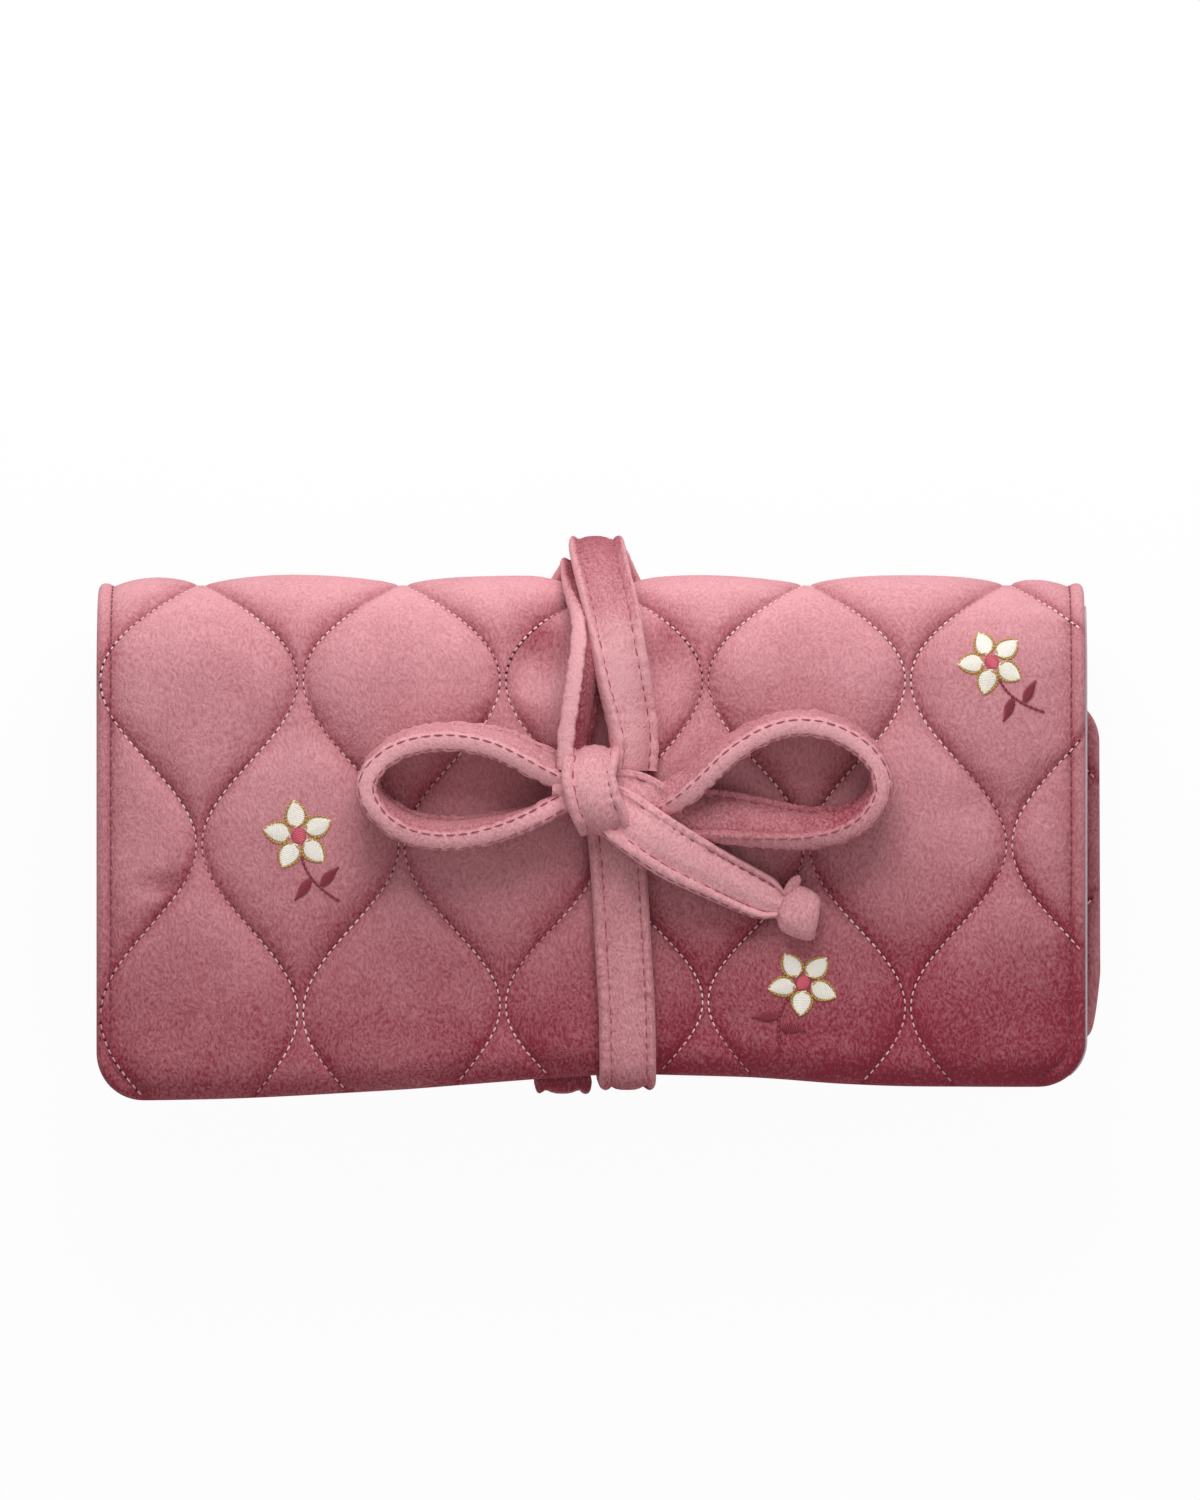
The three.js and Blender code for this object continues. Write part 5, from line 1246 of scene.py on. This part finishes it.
def cloth_panel(name, place, ys, floor, thick, puff, material):
    """A closed panel of cloth in its own drawing, and the height of its top face."""
    once_round = 2 * PANEL_COLUMNS

    def faces(x, y):
        edge = np.minimum(PANEL_HALF - np.abs(x), np.minimum(y - ys[0], ys[1] - y))
        full = np.sqrt(1 - (1 - np.clip(edge / 0.5, 0, 1)) ** 2)
        crown = puff * (1 - np.exp(-np.maximum(edge, 0) / 5))
        crown = crown * (1 + 0.3 * np.sin(0.13 * x + 0.4) * np.sin(0.2 * y + 1))
        gather = 0.12 * puff * np.sin(1.1 * x + 0.7 * y) * np.exp(-np.maximum(edge - 2, 0) / 2)
        half = thick / 2
        return floor + half * (1 + full) + (crown + gather) * full, floor + half * (1 - full)

    def shape(i, j):
        i = i % once_round
        upper = i < PANEL_COLUMNS
        x = PANEL_HALF * (2 * np.where(upper, i, once_round - i) / PANEL_COLUMNS - 1)
        y = ys[0] + (ys[1] - ys[0]) * j / PANEL_ROWS
        return place(x, y, np.where(upper, *faces(x, y)))

    piece = grid_piece(name, once_round + 1, PANEL_ROWS + 1, shape, material)
    return piece, lambda x, y: faces(x, y)[0]


def panel_stitches(place, top, corners, pitch=2.2):
    """Stitches through the corners of a line on a panel."""
    rows = []
    for a, b in zip(corners[:-1], corners[1:]):
        a, b = np.array(a, float), np.array(b, float)
        count = max(1, int(np.linalg.norm(b - a) / pitch))
        for k in range(count):
            x, y = np.array([a + (b - a) * (k + f) / count for f in (0.14, 0.86)]).T
            points = place(x, y, top(x, y) + 0.05)
            out_of = place(x, y, np.ones(2)) - place(x, y, np.zeros(2))
            rows.append((points[0], points[1], out_of[0]) + PANEL_STITCH)
    return rows


def on_back(x, y, z):
    """Places in the part's own drawing, moved to the frame, in metres."""
    return at_frame(np.stack([x, y, z + 0 * x], -1)) * MM


lining_thread = sewing_thread("lilac_lining_thread", "#C9B4C2", 0.5, 0.2)

# %% Slip pocket and its binding
slip, slip_top = cloth_panel("slip_pocket_cloth", on_back, ys=(-28, 12.4), floor=5.75, thick=0.9,
                             puff=0.5, material=satin_lining)
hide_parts("slip_pocket")
slip_line = [(-SEAM_HALF, 12), (-SEAM_HALF, -26.5), (SEAM_HALF, -26.5), (SEAM_HALF, 12)]
slip_stitches = panel_stitches(on_back, slip_top, slip_line)
slip_seam = thread_piece("slip_pocket_seam", slip_stitches, lining_thread)

BINDING_RADIUS, BINDING_Y, BINDING_Z = 1.28, 13.5, 7.1


def rolled_binding():
    """A narrow roll of velvet along the pocket's mouth, blunt at both ends."""
    around, along = 16, 240

    def shape(i, j):
        turn = 2 * math.pi * (i % around) / around
        x = PANEL_HALF * (2 * j / along - 1)
        blunt = np.sqrt(1 - (1 - np.clip((PANEL_HALF - np.abs(x)) / 1.2, 0.05, 1)) ** 2)
        r = BINDING_RADIUS * blunt * (1 + 0.05 * np.sin(2.3 * x + 2 * turn))
        return on_back(x, BINDING_Y + r * np.cos(turn), BINDING_Z + r * np.sin(turn))

    return grid_piece("slip_pocket_rolled_binding", around + 1, along + 1, shape, strap_velvet,
                      lambda i, j: 0.5 + 0 * i)


binding = rolled_binding()
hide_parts("slip_pocket_binding")
for item, slot in ((slip, "lining"), (slip_seam, "lining"), (binding, "velvet")):
    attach(item, "back")

# %% [markdown]
# ## Zip pockets
# Each zip has two panels, two tapes and a nylon coil, whose turns are small bent loops that meet
# in the middle in turn. Slider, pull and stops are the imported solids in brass.


# %% Place and coil of a zip
ZIP_GAP = 6.2                            # from the zip's middle line to its panels
TAPE_NEAR, TAPE_FAR = 1.4, 6.3           # edges of a tape from the same line
COIL_TURNS, COIL_PITCH, COIL_START = 123, 1.4, -85.6
COIL_TURN = (0.72 * MM, 1.35 * MM)       # width and height


def zip_place(u, across):
    """Maps x along the zip, y across it and z out of the lining to the frame."""
    y0, z0, ny, nz = (float(v) for v in cover_at(u))

    def place(x, y, z):
        return at_frame(np.stack([x + across, y0 - ny * (LINING_TOP + z) - nz * y,
                                  z0 - nz * (LINING_TOP + z) + ny * y], -1)) * MM
    return place


zip_nylon = sewing_thread("rose_zip_nylon", "#B27480", 0.35, 0.0)


def zip_coil(name, place):
    """Turns of the coil, which come from both tapes in turn."""
    middle = np.zeros(1)
    out_of = (place(middle, middle, np.ones(1)) - place(middle, middle, np.zeros(1)))[0]
    turns = []
    for k in range(COIL_TURNS):
        for side, shift in ((1, 0.0), (-1, COIL_PITCH / 2)):
            x = COIL_START + COIL_PITCH * k + shift
            ends = place(np.array([x, x + 0.1]), np.array([1.3, -0.5]) * side, np.array([1.15, 1.3]))
            turns.append((ends[0], ends[1], out_of) + COIL_TURN)
    return thread_piece(name, turns, zip_nylon, 8, 5)


# %% Both zips
# Name, body, place on the lining, and how far the wide and the narrow panel reach
ZIPS = [("flap_zip", "flap", zip_place(26, 0), 50, 18.0),
        ("inner_zip", "inner_third", zip_place(U_INNER + 16, INNER_PEEK), 38, 13.0)]
for zip_name, body, place, wide, narrow in ZIPS:
    panels = []
    for part, ys, side in (("panel_wide", (-wide, -ZIP_GAP), -1),
                           ("panel_narrow", (ZIP_GAP, narrow), 1)):
        name = zip_name + "_" + part
        piece, top = cloth_panel(name + "_cloth", place, ys, floor=0.1, thick=1.0, puff=0.7,
                                 material=satin_lining)
        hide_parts(name)
        near, far = ys[::side]
        near, far = near + 1.3 * side, far - 1.5 * side
        line = [(-SEAM_HALF, near), (SEAM_HALF, near), (SEAM_HALF, far), (-SEAM_HALF, far)]
        rows = panel_stitches(place, top, line + line[:1])
        seam = thread_piece(name + "_seam", rows, lining_thread)
        panels += [(piece, "lining"), (seam, "lining")]
    for part, ys in (("tape_lower", (-TAPE_FAR, -TAPE_NEAR)), ("tape_upper", (TAPE_NEAR, TAPE_FAR))):
        name = zip_name + "_" + part
        piece, _ = cloth_panel(name + "_cloth", place, ys, floor=0.25, thick=0.6, puff=0.0,
                               material=zip_tape)
        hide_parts(name)
        panels.append((piece, "tape"))
    coil = zip_coil(zip_name + "_coil_turns", place)
    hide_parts(zip_name + "_coil")
    for item, slot in panels + [(coil, "coil")]:
        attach(item, body)

# %% [markdown]
# ## Ring bar and metal
# The ring bar is a stuffed velvet roll with gathered ends, held by a sewn tab on the left and a
# snap tab on the right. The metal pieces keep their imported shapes.


# %% Ring bar and its tabs
RING_HALF, RING_RADIUS, RING_Z = 75, 5.42, 12.48
TAB_UP = (0, -0.4465, 0.8948)            # the tabs' faces lean with the top fold


def ring_roll():
    """The stuffed roll, gathered at both ends and sewn along its underside."""
    around, along = 40, 120

    def shape(i, j):
        turn = 2 * math.pi * (i % around) / around
        x = RING_HALF * np.sin(0.5 * math.pi * (2 * j / along - 1))
        end = RING_HALF - np.abs(x)
        r = RING_RADIUS * np.sqrt(1 - 0.9 * (1 - np.clip(end / 4.5, 0, 1)) ** 2)
        r = r + 0.08 * np.sin(0.21 * x + 1) * np.cos(turn + 1)
        r = r * (1 + 0.05 * np.sin(10 * turn) * np.exp(-end / 3))
        r = r - 0.35 * np.exp(-(((turn - 1.5 * math.pi) / 0.09) ** 2))
        return on_back(x, RING_Y + r * np.cos(turn), RING_Z + r * np.sin(turn))

    # Painted light: the roll is paler on the side that looks up the roll and deeper on the other
    def nap(i, j):
        return 0.5 + 0.2 * np.cos(2 * math.pi * i / around)

    return grid_piece("ring_bar_roll", around + 1, along + 1, shape, strap_velvet, nap)


ring_piece = ring_roll()
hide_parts("ring_bar")
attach(ring_piece, "back")
for name, side, low in (("ring_bar_sewn_tab", -1, -4.05), ("ring_bar_snap_tab", 1, -2.1)):
    route = [(74.2, 0.2), (76.2, 0.0), (79.5, 0.5 * low), (82.6, 0.98 * low), (88, low), (93, low),
             (97.2, low)]
    rows = [(side * x, RING_Y + TAB_UP[1] * z, RING_Z + TAB_UP[2] * z) + TAB_UP for x, z in route]
    band_part(name + "_strap", drawn_strap(rows, thick=1.7, width=9.0), [name], body="back")

# %% Brass on the metal pieces
metal = ["snap_base", "snap_cap"] + [z + part for z in ("flap_zip_", "inner_zip_")
                                     for part in ("stop_left", "stop_right", "slider", "pull")]
for name in metal:
    solid = bpy.data.objects[name]
    solid.data.materials.clear()
    solid.data.materials.append(brass)
print("metal pieces:", len(metal))

# %% [markdown]
# ## Embroidery
# Small flowers are scattered over the puffs: white satin-stitched petals edged with gold thread, a
# coral eye and dark red stems. Satin stitch is many threads laid side by side across a shape.


# %% Lines of one flower
# Each line is a thread, two ends and a width, in millimetres about the flower's eye
petal_thread = sewing_thread("white_rayon_thread", "#F1EBE0", 0.38, 0.1)
gold_thread = sewing_thread("gold_lurex_thread", "#C2983A", 0.32, 0.0)
coral_thread = sewing_thread("coral_rayon_thread", "#D2586A", 0.4, 0.1)
stem_thread = sewing_thread("wine_rayon_thread", "#8A2A38", 0.45, 0.1)


def petals(size):
    """Five petals, each filled across with satin stitch and edged with gold."""
    lines = []
    for k in range(5):
        turn = 2 * math.pi * k / 5 + 0.2
        way = np.array([math.sin(turn), math.cos(turn)])
        side = np.array([way[1], -way[0]])
        for f in np.linspace(0.04, 0.96, 15):
            w = 2.15 * size * math.sin(math.pi * f ** 0.75) ** 0.7
            c = way * size * (1.9 + 5.6 * f)
            lines.append((petal_thread, c - side * w - way * 0.3, c + side * w + way * 0.3, 0.62))
        rim = []
        for s, fs in ((1, np.linspace(0, 1, 9)), (-1, np.linspace(1, 0, 9))):
            for f in fs:
                w = 2.3 * size * max(math.sin(math.pi * f ** 0.75), 0) ** 0.7
                rim.append(way * size * (1.9 + 5.6 * f) + s * side * w)
        lines += [(gold_thread, a, b, 0.5) for a, b in zip(rim[:-1], rim[1:])
                  if np.linalg.norm(b - a) > 0.1]
    return lines


def eye(size):
    """The round eye, filled across."""
    lines = []
    for f in np.linspace(-1, 1, 9):
        w, y = 1.6 * size * math.sqrt(max(1 - f * f, 0.05)), 1.6 * size * f
        lines.append((coral_thread, np.array([-w, y]), np.array([w, y]), 0.55))
    return lines


def stem_and_leaves(size):
    """A curved stem with a leaf on each side."""
    t = np.linspace(0, 1, 12)[:, None]
    top, bend, foot = np.array([-0.9, -4.3]), np.array([-1.8, -10]), np.array([3.4, -16])
    stem = size * ((1 - t) ** 2 * top + 2 * t * (1 - t) * bend + t ** 2 * foot)
    lines = [(stem_thread, a, b, 0.7) for a, b in zip(stem[:-1], stem[1:])]
    for start, way in ((5, np.array([-0.86, -0.51])), (7, np.array([0.9, 0.43]))):
        side = np.array([-way[1], way[0]])
        for f in np.linspace(0.1, 0.97, 12):
            c, w = stem[start] + way * 5.8 * size * f, 1.2 * size * math.sin(math.pi * f ** 0.8)
            lines.append((stem_thread, c - side * w - way * 0.3, c + side * w + way * 0.3, 0.55))
    return lines


# %% Flowers on the cover
def embroider(name, places, k):
    """Flowers at x, cloth length, turn and size on one length of the cover."""
    rows = {}
    for x0, u0, turn, size in places:
        lines = petals(size) + eye(size) + stem_and_leaves(size)
        ends = np.array([[a, b] for _, a, b, _ in lines])
        c, s = math.cos(turn), math.sin(turn)
        x = x0 + c * ends[..., 0] - s * ends[..., 1]
        u = u0 + s * ends[..., 0] + c * ends[..., 1]
        points = lay(x, u, puff_height(x, u) + 0.12)
        up = np.array(cloth_normal(u0))
        for (thread, _, _, wide), (a, b) in zip(lines, points):
            tall = 0.36 if thread is petal_thread else 0.5
            rows.setdefault(thread.name, []).append((a, b, up, wide * MM, tall * MM))
    for thread in (petal_thread, gold_thread, coral_thread, stem_thread):
        piece = thread_piece(name + "_" + thread.name, rows[thread.name], thread)
        bend_at(piece, k)


embroider("flowers_flap", [(-62, 54, 0.35, 1.0), (45, 22, -0.5, 1.0), (85, 91, 0.6, 0.95)], 0)
embroider("flowers_top_fold", [(-62, 136, math.pi + 0.3, 0.9), (67, 136, math.pi - 0.4, 0.9)], 2)
embroider("flowers_inner_third", [(-62, 300, 0.5, 1.0), (24, 298, -0.4, 1.0)], 4)
